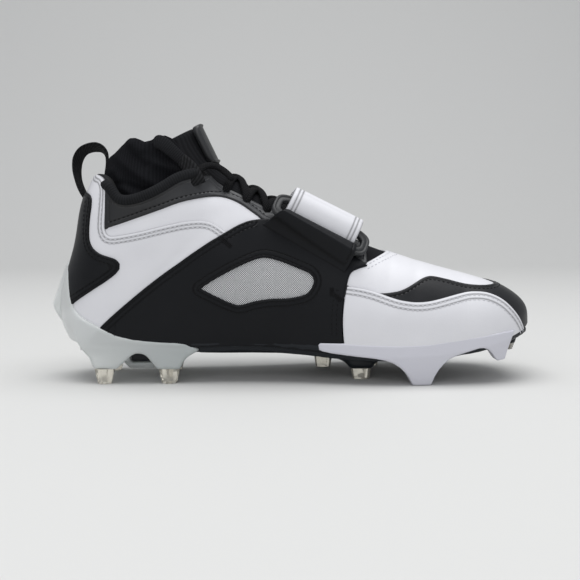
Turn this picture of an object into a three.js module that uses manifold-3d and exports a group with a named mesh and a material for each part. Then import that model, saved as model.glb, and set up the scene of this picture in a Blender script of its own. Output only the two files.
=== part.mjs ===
// A mid-cut american football cleat for the left foot, standing empty on its studs.
// Millimetres. X runs from heel to toe, Y from the medial side (minus) to the lateral side (plus),
// Z is up from the floor. The pieces are worked out around a last, a smooth solid of the foot, whose
// back of the heel is at x = 0; the finished shoe is then centred over the origin.
import * as THREE from "three";
import { mergeVertices } from "three/addons/utils/BufferGeometryUtils.js";
import Module from "manifold-3d";

const wasm = await Module();
wasm.setup();

// The last
const LAST_LENGTH = 292;
const BALL_WIDTH = 92;
const INSTEP_HEIGHT = 134;
const SOLE_HEIGHT = 17.5;
const TOE_RADIUS = 46;
const TOE_SIDE_SHIFT = 8;
const TOE_TIP_RISE = 13;
const HEEL_LEAN = 20;
const HEEL_LEAN_START = 45;
const COLLAR_HEIGHT = 131;
const LEAN_REACH = 90;

// Walls and clearances
const CLEARANCE = 0.3;
const UPPER_WALL = 2.2;
const LEATHER = 1.3;
const MUDGUARD_LEATHER = 1.7;
const MESH_CLOTH = 0.6;
const INSOLE_THICKNESS = 4;
const LASTING_MARGIN = 11;
const PLATE_WALL = 2.6;
const KNIT_WALL = 1.8;

// Studs, from the floor up
const STUD_TIP_HEIGHT = 9;
const STUD_NECK = 1.6;
const STUD_FLARE = 1.3;
const STUD_TIP_LENGTH = 8.5;
const STUD_TIP_WIDTH = 9;
const STUD_ROOT_LENGTH = 21;
const STUD_ROOT_WIDTH = 15;

// Strap, its ring and its keeper
const STRAP_WIDTH = 47;
const STRAP_THICKNESS = 2.6;
const STRAP_SLOPE = 26.5;
const RING_LENGTH = 64;
const RING_HEIGHT = 20;
const RING_BAR = 5;
const RING_THICKNESS = 3.6;
const RING_TILT = 50;
const RING_X = 160;
const RING_Y = -30;
const RING_Z = 95.5;
const STRAP_MEDIAL_REST = 5.6;
const STRAP_LATERAL_REST = 2.6;
const STRAP_TOP_REST = 9;
const STRAP_FREE_END = 66;
const STRAP_ROOT = 40;
const TAB_THICKNESS = 1.5;
const TAB_REACH = 24;

// Throat, tongue, collar and pull loop
const THROAT_REAR_HALF = 19;
const THROAT_FRONT_HALF = 11;
const TONGUE_OVERLAP = 6;
const TONGUE_THICKNESS = 3.5;
const TONGUE_WIDTH = 34;
const TONGUE_ROOT = 12;
const TONGUE_LEAN = 62;
const TONGUE_RISE = 27;
const LABEL_START = 3;
const LABEL_THICKNESS = 3;
const LABEL_WIDTH = 26;
const SOCK_FRONT = 84;
const SOCK_BOTTOM = 96;
const ROLL_HEIGHT = 6;
const ROLL_THICKNESS = 4.2;
const ROLL_REAR = 37;
const ROLL_FRONT = 88;
const EYESTAY_REAR = 27;
const EYESTAY_FRONT = 186;

// Lace, its keepers and the pull loop
const LACE_DIAMETER = 4.2;
const LACE_REST = 3.2;
const LACE_ROWS = 6;
const LACE_TOP = 102.6;
const LACE_PITCH = 12.6;
const EYELET_INSET = 3;
const KEEPER_THICKNESS = 1.6;
const LOOP_WIDTH = 15;
const LOOP_REST = 0.98;

// Rail and heel fin
const RAIL_REAR = 157;
const RAIL_FRONT = 280;
const RAIL_WIDTH = 14;
const RAIL_WALL = 3.4;
const FIN_THICKNESS = 6;

const material = (color, roughness, metalness = 0, opacity = 1) =>
  new THREE.MeshStandardMaterial({ color, roughness, metalness, opacity, transparent: opacity < 1 });
const WHITE_LEATHER = material(0xe4e4ea, 0.45);
const BLACK_LEATHER = material(0x1b1c1f, 0.5);
const GREY_LEATHER = material(0x46474a, 0.55);
const BLACK_KNIT = material(0x141518, 0.9);
const GREY_MESH = material(0xb4b5b7, 0.8);
const BLACK_RUBBER = material(0x303235, 0.6);
const CLEAR_PLATE = material(0xc4cac8, 0.35, 0, 0.75);
const WHITE_PLATE = material(0xd2d2da, 0.4);
const BLACK_PLATE = material(0x12161c, 0.35);
const CLEAR_TIP = material(0xe2dccb, 0.2, 0, 0.7);

// Sections of the last. x is a share of LAST_LENGTH. medial and lateral are half widths of the bottom
// edge, arch and outside are how far each wall swells above it, and ridge is how far the top line
// stands to the medial side, all as shares of BALL_WIDTH. bottom is the height of the bottom edge as
// a share of SOLE_HEIGHT, top the height of the top line as a share of INSTEP_HEIGHT, and fullness
// the power of the superellipse: 2 is an ellipse, more is squarer.
const SECTION_COLUMNS = [
  "x", "medial", "lateral", "arch", "outside", "ridge", "bottom", "top", "fullness",
];
const SECTIONS = [
  [0.110, 0.315, 0.315, 0.045, 0.045, 0.000, 1.32, 1.340, 4.2],
  [0.171, 0.325, 0.330, 0.050, 0.050, 0.000, 1.27, 1.350, 4.2],
  [0.240, 0.325, 0.342, 0.055, 0.045, 0.000, 1.24, 1.260, 3.8],
  [0.308, 0.318, 0.360, 0.070, 0.040, 0.011, 1.27, 1.000, 3.2],
  [0.377, 0.312, 0.382, 0.085, 0.035, 0.033, 1.31, 0.905, 2.9],
  [0.445, 0.325, 0.412, 0.080, 0.033, 0.044, 1.27, 0.822, 2.8],
  [0.514, 0.352, 0.452, 0.060, 0.030, 0.054, 1.15, 0.762, 2.8],
  [0.582, 0.397, 0.490, 0.043, 0.027, 0.065, 1.04, 0.692, 2.7],
  [0.651, 0.438, 0.515, 0.035, 0.027, 0.076, 1.00, 0.618, 2.6],
  [0.719, 0.462, 0.515, 0.033, 0.027, 0.087, 1.00, 0.567, 2.6],
  [0.788, 0.458, 0.485, 0.030, 0.025, 0.087, 1.08, 0.521, 2.7],
  [0.842, 0.432, 0.445, 0.027, 0.022, 0.087, 1.20, 0.489, 2.9],
].map((row) => Object.fromEntries(SECTION_COLUMNS.map((name, i) => [name, row[i]])));
const TOE_TIP_FULLNESS = 4;
const HEEL_OUTLINE_POWER = 2.2;
const TOE_OUTLINE_POWER = 2.25;

// How finely the last is cut: ribs per quarter turn at heel and toe, ribs between the table's
// sections, and steps up each rib.
const HEEL_RIBS = 5;
const TOE_RIBS = 6;
const RIBS_PER_SECTION = 1;
const RIB_STEPS = 7;

const radians = (degrees) => (degrees * Math.PI) / 180;
const clamp01 = (value) => Math.min(1, Math.max(0, value));

// One column of the section table at a length x, by a Catmull-Rom curve through its rows.
function sectionValue(column, x) {
  const share = x / LAST_LENGTH;
  const last = SECTIONS.length - 1;
  let i = 0;
  while (i < last - 1 && SECTIONS[i + 1].x < share) i += 1;
  const at = (k) => SECTIONS[Math.min(last, Math.max(0, k))];
  const t = clamp01((share - at(i).x) / (at(i + 1).x - at(i).x));
  const slope = (k) => (at(k + 1)[column] - at(k - 1)[column]) / (at(k + 1).x - at(k - 1).x);
  const width = at(i + 1).x - at(i).x;
  const [p0, p1] = [at(i)[column], at(i + 1)[column]];
  const [m0, m1] = [slope(i) * width, slope(i + 1) * width];
  return (
    (2 * t ** 3 - 3 * t ** 2 + 1) * p0 + (t ** 3 - 2 * t ** 2 + t) * m0 +
    (3 * t ** 2 - 2 * t ** 3) * p1 + (t ** 3 - t ** 2) * m1
  );
}

const HEEL_PIVOT = SECTIONS[0].x * LAST_LENGTH;
const TOE_PIVOT = SECTIONS[SECTIONS.length - 1].x * LAST_LENGTH;
const ridgeY = (x) => -sectionValue("ridge", x) * BALL_WIDTH;
const topZ = (x) => sectionValue("top", x) * INSTEP_HEIGHT;
const toeRise = (x) => TOE_TIP_RISE * clamp01((x - TOE_PIVOT) / TOE_RADIUS) ** 1.3;
const bottomZ = (x) => sectionValue("bottom", x) * SOLE_HEIGHT + toeRise(x);
const halfWidth = (x, side) => sectionValue(side < 0 ? "medial" : "lateral", x) * BALL_WIDTH;
const TOP_SLOPE = (topZ(TOE_PIVOT) - topZ(TOE_PIVOT - 16)) / 16;

// A rib is the curve from the bottom edge of the last up to its top line. Ribs stand square to the
// length between the two pivots, and fan out around the pivots at heel and toe.
function ribAt(kind, value, side) {
  if (kind === "middle") {
    return {
      pole: [value, ridgeY(value)],
      foot: [value, side * halfWidth(value, side)],
      out: [0, side],
      swell: sectionValue(side < 0 ? "arch" : "outside", value) * BALL_WIDTH,
      fullness: sectionValue("fullness", value),
    };
  }
  const heel = kind === "heel";
  const pivot = heel ? HEEL_PIVOT : TOE_PIVOT;
  const power = 2 / (heel ? HEEL_OUTLINE_POWER : TOE_OUTLINE_POWER);
  const along = Math.cos(radians(value)) ** power;
  const across = Math.sin(radians(value)) ** power;
  const tipY = heel ? 0 : -TOE_SIDE_SHIFT;
  const foot = [
    pivot + (heel ? -HEEL_PIVOT : LAST_LENGTH - TOE_PIVOT) * along,
    tipY + (side * halfWidth(pivot, side) - tipY) * across,
  ];
  const pole = [pivot, ridgeY(pivot)];
  const reach = Math.hypot(foot[0] - pole[0], foot[1] - pole[1]);
  const full = sectionValue("fullness", pivot);
  return {
    pole,
    foot,
    out: [(foot[0] - pole[0]) / reach, (foot[1] - pole[1]) / reach],
    swell: sectionValue(side < 0 ? "arch" : "outside", pivot) * BALL_WIDTH * (1 - along),
    fullness: heel ? full : full + (TOE_TIP_FULLNESS - full) * along,
  };
}

// The point of a rib at an angle from 0 at the bottom edge to 90 degrees at the top line, with the
// last grown sideways by one offset and upwards by another.
function ribPoint(rib, angle, offset, upward = offset) {
  const power = 2 / rib.fullness;
  const run = Math.cos(radians(angle)) ** power;
  const rise = Math.sin(radians(angle)) ** power;
  const swell = rib.swell * 4 * rise * (1 - rise);
  const grown = offset * (angle < 90 ? 1 : 0);
  const spread = (k) =>
    rib.pole[k] + (rib.foot[k] + rib.out[k] * grown - rib.pole[k]) * run + rib.out[k] * swell;
  const [x, y] = [spread(0), spread(1)];
  const floor = bottomZ(rib.foot[0]) - offset;
  const ahead = Math.max(0, x - TOE_PIVOT);
  const top = topZ(rib.pole[0]) + TOP_SLOPE * ahead + upward;
  const z = floor + (top - floor) * rise;
  const lift = clamp01((z - HEEL_LEAN_START) / (COLLAR_HEIGHT - HEEL_LEAN_START));
  const lean = HEEL_LEAN * lift ** 2.2 * clamp01(1 - x / LEAN_REACH);
  return [x + lean, y, z];
}

function ribsOfSide(side) {
  const ribs = [];
  for (let i = 0; i < HEEL_RIBS; i += 1) ribs.push(ribAt("heel", (90 * i) / HEEL_RIBS, side));
  SECTIONS.forEach((row, i) => {
    const next = SECTIONS[i + 1];
    for (let k = 0; k < (next ? RIBS_PER_SECTION : 1); k += 1) {
      const share = row.x + (next ? ((next.x - row.x) * k) / RIBS_PER_SECTION : 0);
      ribs.push(ribAt("middle", share * LAST_LENGTH, side));
    }
  });
  for (let i = 1; i <= TOE_RIBS; i += 1) ribs.push(ribAt("toe", 90 - (90 * i) / TOE_RIBS, side));
  return ribs;
}
const MEDIAL_RIBS = ribsOfSide(-1);
const LATERAL_RIBS = ribsOfSide(1);

// A closed solid from loose triangles, each three points; those with no area are dropped.
function solidFromTriangles(triangles) {
  const geometry = new THREE.BufferGeometry();
  geometry.setAttribute("position", new THREE.Float32BufferAttribute(triangles.flat(2), 3));
  return solidFromGeometry(geometry);
}

function solidFromGeometry(source) {
  const geometry = source.clone();
  geometry.deleteAttribute("normal");
  geometry.deleteAttribute("uv");
  const merged = mergeVertices(geometry, 1e-3);
  const index = [];
  for (let i = 0; i < merged.index.count; i += 3) {
    const [a, b, c] = [0, 1, 2].map((k) => merged.index.getX(i + k));
    if (a !== b && b !== c && a !== c) index.push(a, b, c);
  }
  return new wasm.Manifold(
    new wasm.Mesh({
      numProp: 3,
      vertProperties: new Float32Array(merged.attributes.position.array),
      triVerts: new Uint32Array(index),
    }),
  );
}

// The last as a closed solid, grown by an offset all round, or by another one at the top.
const grownLasts = new Map();
function last(offset, upward = offset) {
  const key = `${offset} ${upward}`;
  if (grownLasts.has(key)) return grownLasts.get(key);
  const triangles = [];
  const quad = (a, b, c, d) => triangles.push([a, b, c], [a, c, d]);
  const angles = Array.from({ length: RIB_STEPS + 1 }, (_, i) => (90 * i) / RIB_STEPS);
  const line = (rib) => angles.map((angle) => ribPoint(rib, angle, offset, upward));
  const medial = MEDIAL_RIBS.map(line);
  const lateral = LATERAL_RIBS.map(line);
  for (let i = 0; i + 1 < medial.length; i += 1) {
    for (let k = 0; k < RIB_STEPS; k += 1) {
      quad(medial[i][k], medial[i + 1][k], medial[i + 1][k + 1], medial[i][k + 1]);
      quad(lateral[i][k + 1], lateral[i + 1][k + 1], lateral[i + 1][k], lateral[i][k]);
    }
    quad(medial[i + 1][0], medial[i][0], lateral[i][0], lateral[i + 1][0]);
  }
  grownLasts.set(key, solidFromTriangles(triangles));
  return grownLasts.get(key);
}

// Prisms. An outline in the side view is extruded across the shoe, and one in the plan upwards.
function shapeOf(outline) {
  return new THREE.Shape(outline.map(([a, b]) => new THREE.Vector2(a, b)));
}
function sidePrism(outline, fromY, toY) {
  const geometry = new THREE.ExtrudeGeometry(shapeOf(outline), {
    depth: toY - fromY, bevelEnabled: false, steps: 1,
  });
  geometry.rotateX(Math.PI / 2).translate(0, toY, 0);
  return solidFromGeometry(geometry);
}
function planPrism(outline, fromZ, toZ) {
  const geometry = new THREE.ExtrudeGeometry(shapeOf(outline), {
    depth: toZ - fromZ, bevelEnabled: false, steps: 1,
  });
  geometry.translate(0, 0, fromZ);
  return solidFromGeometry(geometry);
}

// A smooth line through points given as shares: x of the last's length, z of the instep height.
function sideLine(shares, steps) {
  const points = shares.map(([x, z]) => new THREE.Vector2(x * LAST_LENGTH, z * INSTEP_HEIGHT));
  return new THREE.SplineCurve(points).getPoints(steps).map((p) => [p.x, p.y]);
}
const shifted = (line, dx, dz) => line.map(([x, z]) => [x + dx, z + dz]);

// A solid through rings of points: side walls between rings, and a fan over each end ring.
function loft(rings) {
  const triangles = [];
  const count = rings[0].length;
  for (let i = 0; i + 1 < rings.length; i += 1) {
    for (let k = 0; k < count; k += 1) {
      const n = (k + 1) % count;
      triangles.push([rings[i][k], rings[i][n], rings[i + 1][n]]);
      triangles.push([rings[i][k], rings[i + 1][n], rings[i + 1][k]]);
    }
  }
  const [first, end] = [rings[0], rings[rings.length - 1]];
  for (let k = 1; k + 1 < count; k += 1) {
    triangles.push([first[0], first[k + 1], first[k]]);
    triangles.push([end[0], end[k], end[k + 1]]);
  }
  const made = solidFromTriangles(triangles);
  return made.volume() > 0 ? made : solidFromTriangles(triangles.map(([a, b, c]) => [a, c, b]));
}

const FAR = 300;
const layer = (from, to) => last(to).subtract(last(from));
const half = (side) => sidePrism(
  [[-FAR, -FAR], [2 * FAR, -FAR], [2 * FAR, FAR], [-FAR, FAR]], side < 0 ? -FAR : 0, side < 0 ? 0 : FAR,
);
const HALVES = { medial: half(-1), lateral: half(1) };

const group = new THREE.Group();
const shoe = new THREE.Group();
group.add(shoe);

// The largest body of a cut, without the crumbs that a cut can leave beside it.
const mainBody = (solid) => solid.decompose().sort((a, b) => b.volume() - a.volume())[0];

function add(name, solid, finish) {
  const made = mainBody(solid).getMesh();
  const vertices = new Float32Array(made.numVert * 3);
  for (let i = 0; i < made.numVert; i += 1) {
    vertices.set(made.vertProperties.subarray(i * made.numProp, i * made.numProp + 3), i * 3);
  }
  const geometry = new THREE.BufferGeometry();
  geometry.setAttribute("position", new THREE.BufferAttribute(vertices, 3));
  geometry.setIndex(new THREE.BufferAttribute(new Uint32Array(made.triVerts), 1));
  geometry.computeVertexNormals();
  const mesh = new THREE.Mesh(geometry, finish);
  mesh.name = name;
  shoe.add(mesh);
}

// Lines in the side view that the pieces are cut to.
const COLLAR_EDGE = sideLine([
  [-0.06, 0.962], [0.060, 0.960], [0.095, 0.945], [0.118, 0.880], [0.135, 0.852], [0.160, 0.856],
  [0.190, 0.878], [0.220, 0.912], [0.255, 0.955], [0.300, 0.968], [0.345, 0.968],
], 16);
const SOCK_EDGE = sideLine([
  [-0.06, 0.940], [0.085, 0.940], [0.112, 1.000], [0.130, 1.070], [0.150, 1.110], [0.180, 1.130],
  [0.205, 1.112], [0.232, 1.155], [0.260, 1.110], [0.290, 1.000], [0.340, 0.900],
], 16);
const EYESTAY_EDGE = sideLine([
  [0.096, 0.708], [0.128, 0.726], [0.170, 0.757], [0.211, 0.790], [0.252, 0.825], [0.293, 0.841],
  [0.324, 0.845], [0.350, 0.835], [0.380, 0.806], [0.407, 0.764], [0.430, 0.742], [0.480, 0.680],
  [0.560, 0.590], [0.640, 0.535],
], 18);
const MIDFOOT_REAR_EDGE = sideLine([
  [0.040, 0.120], [0.086, 0.257], [0.129, 0.346], [0.191, 0.458], [0.252, 0.556], [0.293, 0.619],
  [0.334, 0.672], [0.365, 0.710], [0.396, 0.730], [0.425, 0.722], [0.480, 0.660], [0.560, 0.570],
  [0.600, 0.515],
], 16);
const MIDFOOT_FRONT_EDGE = sideLine([
  [0.600, 0.515], [0.595, 0.455], [0.588, 0.390], [0.586, 0.302], [0.588, 0.235], [0.590, 0.080],
], 5);
const MUDGUARD_EDGE = sideLine([
  [0.602, 0.443], [0.621, 0.437], [0.658, 0.415], [0.683, 0.396], [0.704, 0.381], [0.736, 0.372],
  [0.768, 0.375], [0.812, 0.395], [0.857, 0.407], [0.904, 0.398], [0.942, 0.357], [0.972, 0.308],
  [0.988, 0.260], [1.000, 0.215], [1.060, 0.170],
], 18);
const WAVE_EDGE = sideLine([
  [0.640, 0.420], [0.694, 0.418], [0.715, 0.430], [0.738, 0.455], [0.761, 0.473], [0.774, 0.476],
  [0.807, 0.462], [0.842, 0.443], [0.877, 0.435], [0.904, 0.436], [0.933, 0.447], [0.960, 0.480],
], 14);
const COUNTER_EDGE = sideLine([
  [0.080, 0.852], [0.092, 0.810], [0.088, 0.714], [0.086, 0.680], [0.094, 0.628], [0.125, 0.575],
  [0.149, 0.542], [0.136, 0.494], [0.118, 0.466], [0.081, 0.418], [0.038, 0.360], [-0.03, 0.290],
], 16);
const WINDOW_EDGE = sideLine([
  [0.294, 0.437], [0.324, 0.481], [0.365, 0.525], [0.407, 0.560], [0.427, 0.569], [0.458, 0.556],
  [0.499, 0.522], [0.523, 0.496], [0.527, 0.469], [0.521, 0.438], [0.508, 0.407], [0.478, 0.393],
  [0.417, 0.387], [0.396, 0.373], [0.376, 0.365], [0.355, 0.378], [0.324, 0.404],
], 20);
const HEEL_PLATE_EDGE = sideLine([
  [-0.06, 0.330], [-0.020, 0.325], [0.008, 0.313], [0.029, 0.293], [0.064, 0.278], [0.086, 0.257],
  [0.128, 0.221], [0.190, 0.203], [0.245, 0.199], [0.272, 0.185], [0.293, 0.157], [0.300, 0.120],
], 14);
const FORE_PLATE_EDGE = sideLine([
  [0.235, 0.215], [0.300, 0.208], [0.400, 0.205], [0.500, 0.195], [0.586, 0.193], [0.700, 0.189],
  [0.744, 0.192], [0.810, 0.210], [0.879, 0.225], [0.930, 0.229], [0.967, 0.229], [1.000, 0.236],
  [1.060, 0.250],
], 12);
const above = (line) => [...line, [line[line.length - 1][0], FAR], [line[0][0], FAR]];
const below = (line) => [...line, [line[line.length - 1][0], -FAR], [line[0][0], -FAR]];
const sideCut = (outline) => sidePrism(outline, -FAR, FAR);

// What the plates cover of the wall, with the clearance above them that the leather keeps.
const soleZone = sideCut(below(shifted(HEEL_PLATE_EDGE, 0, CLEARANCE)))
  .add(sideCut(below(shifted(FORE_PLATE_EDGE, 0, CLEARANCE))));

// The sole's bottom edge in plan, moved out by a distance.
function featherLine(side, outwards) {
  return (side < 0 ? MEDIAL_RIBS : LATERAL_RIBS)
    .map((rib) => [rib.foot[0] + rib.out[0] * outwards, rib.foot[1] + rib.out[1] * outwards]);
}
const footprint = (outwards) => [
  ...featherLine(-1, outwards), ...featherLine(1, outwards).reverse(),
];

// The throat in plan, from the collar to the vamp.
const THROAT_REAR = 0.25 * LAST_LENGTH;
const THROAT_FRONT = 0.665 * LAST_LENGTH;
const THROAT_STEPS = 6;
function throat(grow) {
  const edge = (side) => Array.from({ length: THROAT_STEPS + 1 }, (_, i) => {
    const share = i / THROAT_STEPS;
    const x = THROAT_REAR + (THROAT_FRONT - THROAT_REAR) * share;
    const across = THROAT_REAR_HALF + (THROAT_FRONT_HALF - THROAT_REAR_HALF) * share + grow;
    return [x, ridgeY(x) + side * across];
  });
  const tip = [THROAT_FRONT + THROAT_FRONT_HALF / 2 + grow, ridgeY(THROAT_FRONT)];
  return planPrism([...edge(-1), tip, ...edge(1).reverse()], INSTEP_HEIGHT / 2, FAR);
}

function buildUpper() {
  const opening = planPrism(footprint(-LASTING_MARGIN), -FAR, SOLE_HEIGHT * 2.5);
  const upper = layer(-UPPER_WALL, 0).subtract(sideCut(above(COLLAR_EDGE))).subtract(throat(0));
  add("upper", upper.subtract(opening), WHITE_LEATHER);
}

function buildInsole() {
  const seat = UPPER_WALL + CLEARANCE;
  const line = SECTIONS.map((row) => row.x * LAST_LENGTH).concat(
    [0.3, 0.5, 0.7, 0.85, 1].map((share) => TOE_PIVOT + TOE_RADIUS * share),
  ).map((x) => [x, bottomZ(x) + seat + INSOLE_THICKNESS]);
  const board = last(-seat).intersect(sideCut(below([[-FAR, line[0][1]], ...line, [FAR, line.at(-1)[1]]])));
  add("insole", board, BLACK_RUBBER);
}

function buildSock() {
  const outer = -UPPER_WALL - CLEARANCE;
  const tube = layer(outer - KNIT_WALL, outer)
    .subtract(sideCut(above(SOCK_EDGE)))
    .intersect(sideCut([[-FAR, SOCK_BOTTOM], [SOCK_FRONT, SOCK_BOTTOM], [SOCK_FRONT, FAR], [-FAR, FAR]]));
  add("sock_collar", tube, BLACK_KNIT);
}

// Tongue: a padded strip inside the throat that stands up behind the laces, with a slab on top.
function buildTongue() {
  const outer = -UPPER_WALL - CLEARANCE;
  const strip = layer(outer - TONGUE_THICKNESS, outer)
    .intersect(throat(TONGUE_OVERLAP))
    .intersect(sideCut([[SOCK_FRONT + CLEARANCE, 0], [FAR, 0], [FAR, FAR], [SOCK_FRONT + CLEARANCE, FAR]]));
  const [rootX, rootZ] = [SOCK_FRONT + TONGUE_ROOT, topZ(SOCK_FRONT + TONGUE_ROOT) + outer];
  const lean = radians(TONGUE_LEAN);
  const up = [-Math.cos(lean), Math.sin(lean)];
  const out = [Math.sin(lean), Math.cos(lean)];
  const at = (along, through) => [
    rootX + up[0] * along + out[0] * through, rootZ + up[1] * along + out[1] * through,
  ];
  const blade = sidePrism(
    [at(-6, -TONGUE_THICKNESS), at(-6, 0), at(TONGUE_RISE, 0), at(TONGUE_RISE, -TONGUE_THICKNESS)],
    -TONGUE_WIDTH / 2, TONGUE_WIDTH / 2,
  );
  const around = layer(outer, CLEARANCE + ROLL_THICKNESS + CLEARANCE).subtract(throat(-CLEARANCE));
  add("tongue", strip.add(blade).subtract(around), BLACK_KNIT);
  const label = sidePrism(
    [at(LABEL_START, CLEARANCE), at(LABEL_START, CLEARANCE + LABEL_THICKNESS),
      at(TONGUE_RISE, CLEARANCE + LABEL_THICKNESS), at(TONGUE_RISE + 2, CLEARANCE)],
    -LABEL_WIDTH / 2, LABEL_WIDTH / 2,
  );
  add("tongue_label", label, GREY_LEATHER);
}

function buildOverlays() {
  const [under, leather] = [CLEARANCE, CLEARANCE + LEATHER];
  const skin = layer(under, leather);
  const eyestayZone = sideCut(above(EYESTAY_EDGE))
    .subtract(sideCut(above(shifted(COLLAR_EDGE, 0, -ROLL_HEIGHT - CLEARANCE))))
    .subtract(sideCut([[-FAR, -FAR], [EYESTAY_REAR, -FAR], [EYESTAY_REAR, FAR], [-FAR, FAR]]))
    .subtract(sideCut([[EYESTAY_FRONT, -FAR], [FAR, -FAR], [FAR, FAR], [EYESTAY_FRONT, FAR]]));
  const midfootZone = sideCut([
    ...MIDFOOT_REAR_EDGE, ...MIDFOOT_FRONT_EDGE.slice(1), [MIDFOOT_REAR_EDGE[0][0], -FAR],
  ]).subtract(soleZone);
  const window = sideCut(WINDOW_EDGE);
  const wave = sideCut(below(WAVE_EDGE)).add(sideCut(below([
    [WAVE_EDGE.at(-1)[0] - 1, FAR / 2], [FAR * 1.2, FAR / 2],
  ])));
  const midfootFront = shifted(MIDFOOT_FRONT_EDGE, CLEARANCE * 1.5, 0);
  const ahead = sideCut([...midfootFront, [FAR * 1.2, -FAR], [FAR * 1.2, midfootFront[0][1]]]);
  const guard = sideCut(below(MUDGUARD_EDGE)).intersect(ahead).subtract(soleZone);
  const guardSkin = layer(under, CLEARANCE + MUDGUARD_LEATHER);
  add("toe_wave", skin.intersect(wave).subtract(sideCut(below(shifted(MUDGUARD_EDGE, 0, CLEARANCE))))
    .subtract(soleZone), BLACK_LEATHER);
  add("heel_counter", skin.intersect(sideCut([...COUNTER_EDGE, [-FAR, 0], [-FAR, COUNTER_EDGE[0][1]]]))
    .subtract(soleZone), BLACK_LEATHER);
  for (const [name, side] of Object.entries(HALVES)) {
    add(`eyestay_${name}`, skin.intersect(eyestayZone).subtract(throat(CLEARANCE)).intersect(side),
      BLACK_LEATHER);
    add(`midfoot_panel_${name}`, skin.intersect(midfootZone).subtract(window)
      .subtract(sideCut(above(shifted(EYESTAY_EDGE, 0, -CLEARANCE)))).intersect(side), BLACK_LEATHER);
    add(`midfoot_mesh_${name}`, layer(under, CLEARANCE + MESH_CLOTH).intersect(
      sideCut(inset(WINDOW_EDGE, CLEARANCE))).intersect(side), GREY_MESH);
    add(`mudguard_${name}`, guardSkin.intersect(guard).intersect(side), WHITE_LEATHER);
    const rollBand = sideCut([
      ...COLLAR_EDGE, ...shifted(COLLAR_EDGE, 0, -ROLL_HEIGHT).reverse(),
    ]).subtract(sideCut([[-FAR, -FAR], [ROLL_REAR, -FAR], [ROLL_REAR, FAR], [-FAR, FAR]]))
      .subtract(sideCut([[ROLL_FRONT, -FAR], [FAR, -FAR], [FAR, FAR], [ROLL_FRONT, FAR]]));
    add(`collar_roll_${name}`, layer(under, CLEARANCE + ROLL_THICKNESS).intersect(rollBand)
      .subtract(throat(CLEARANCE)).intersect(side), BLACK_KNIT);
  }
}

// An outline drawn in towards its middle by a distance.
function inset(outline, distance) {
  const middle = [0, 1].map((k) => outline.reduce((sum, p) => sum + p[k], 0) / outline.length);
  return outline.map(([x, z]) => {
    const reach = Math.hypot(x - middle[0], z - middle[1]);
    const share = (reach - distance * 1.5) / reach;
    return [middle[0] + (x - middle[0]) * share, middle[1] + (z - middle[1]) * share];
  });
}

// Studs. x and y are the middle of the tip as shares of LAST_LENGTH and BALL_WIDTH, length and width
// its size as shares of STUD_TIP_LENGTH and STUD_TIP_WIDTH, root the length and width of the top of
// the stud as shares of STUD_ROOT_LENGTH and STUD_ROOT_WIDTH, shift how far that top is moved along x
// as a share of STUD_ROOT_LENGTH, and lift the tip's height over the floor as a share of
// STUD_TIP_HEIGHT.
const STUD_COLUMNS = ["name", "part", "x", "y", "length", "width", "rootX", "rootY", "shift", "lift"];
const STUDS = [
  ["heel_rear_medial", "heel", 0.094, -0.262, 0.95, 1.00, 1.50, 1.05, 0.00, 0],
  ["heel_rear_lateral", "heel", 0.094, 0.262, 0.95, 1.00, 1.50, 1.05, 0.00, 0],
  ["heel_front_medial", "heel", 0.228, -0.262, 1.20, 1.00, 1.25, 1.05, 0.00, 0],
  ["heel_front_lateral", "heel", 0.228, 0.270, 1.20, 1.00, 1.25, 1.05, 0.00, 0],
  ["inner_medial", "fore", 0.634, -0.160, 1.15, 1.05, 1.10, 1.05, 0.00, 0],
  ["edge_medial", "rail", 0.760, -0.325, 1.60, 1.10, 1.80, 1.00, 0.00, 0],
  ["front_medial", "rail", 0.915, -0.250, 1.10, 1.00, 1.05, 0.85, 0.00, 1.50],
  ["toe", "fore", 0.958, -0.060, 0.85, 1.10, 0.80, 1.00, -0.05, 1.85],
  ["rear_lateral", "fore", 0.565, 0.350, 1.15, 1.00, 1.15, 0.95, 0.00, 0],
  ["middle_lateral", "fore", 0.675, 0.390, 1.15, 1.00, 1.15, 0.95, 0.00, 0],
  ["edge_lateral", "fore", 0.788, 0.360, 1.15, 1.00, 1.15, 0.95, 0.00, 0.15],
  ["front_lateral", "fore", 0.895, 0.225, 1.10, 1.00, 1.05, 0.90, 0.00, 1.25],
].map((row) => Object.fromEntries(STUD_COLUMNS.map((name, i) => [name, row[i]])));

const CORNER_STEPS = 2;
function roundedRing(middle, length, width, z) {
  const corner = Math.min(length, width) * 0.32;
  return Array.from({ length: 4 * CORNER_STEPS }, (_, i) => {
    const quarter = Math.floor(i / CORNER_STEPS);
    const turn = radians(90 * quarter + (90 * (i % CORNER_STEPS)) / (CORNER_STEPS - 1));
    const signX = quarter === 0 || quarter === 3 ? 1 : -1;
    const signY = quarter < 2 ? 1 : -1;
    return [
      middle[0] + signX * (length / 2 - corner) + corner * Math.cos(turn),
      middle[1] + signY * (width / 2 - corner) + corner * Math.sin(turn),
      z,
    ];
  });
}

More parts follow.
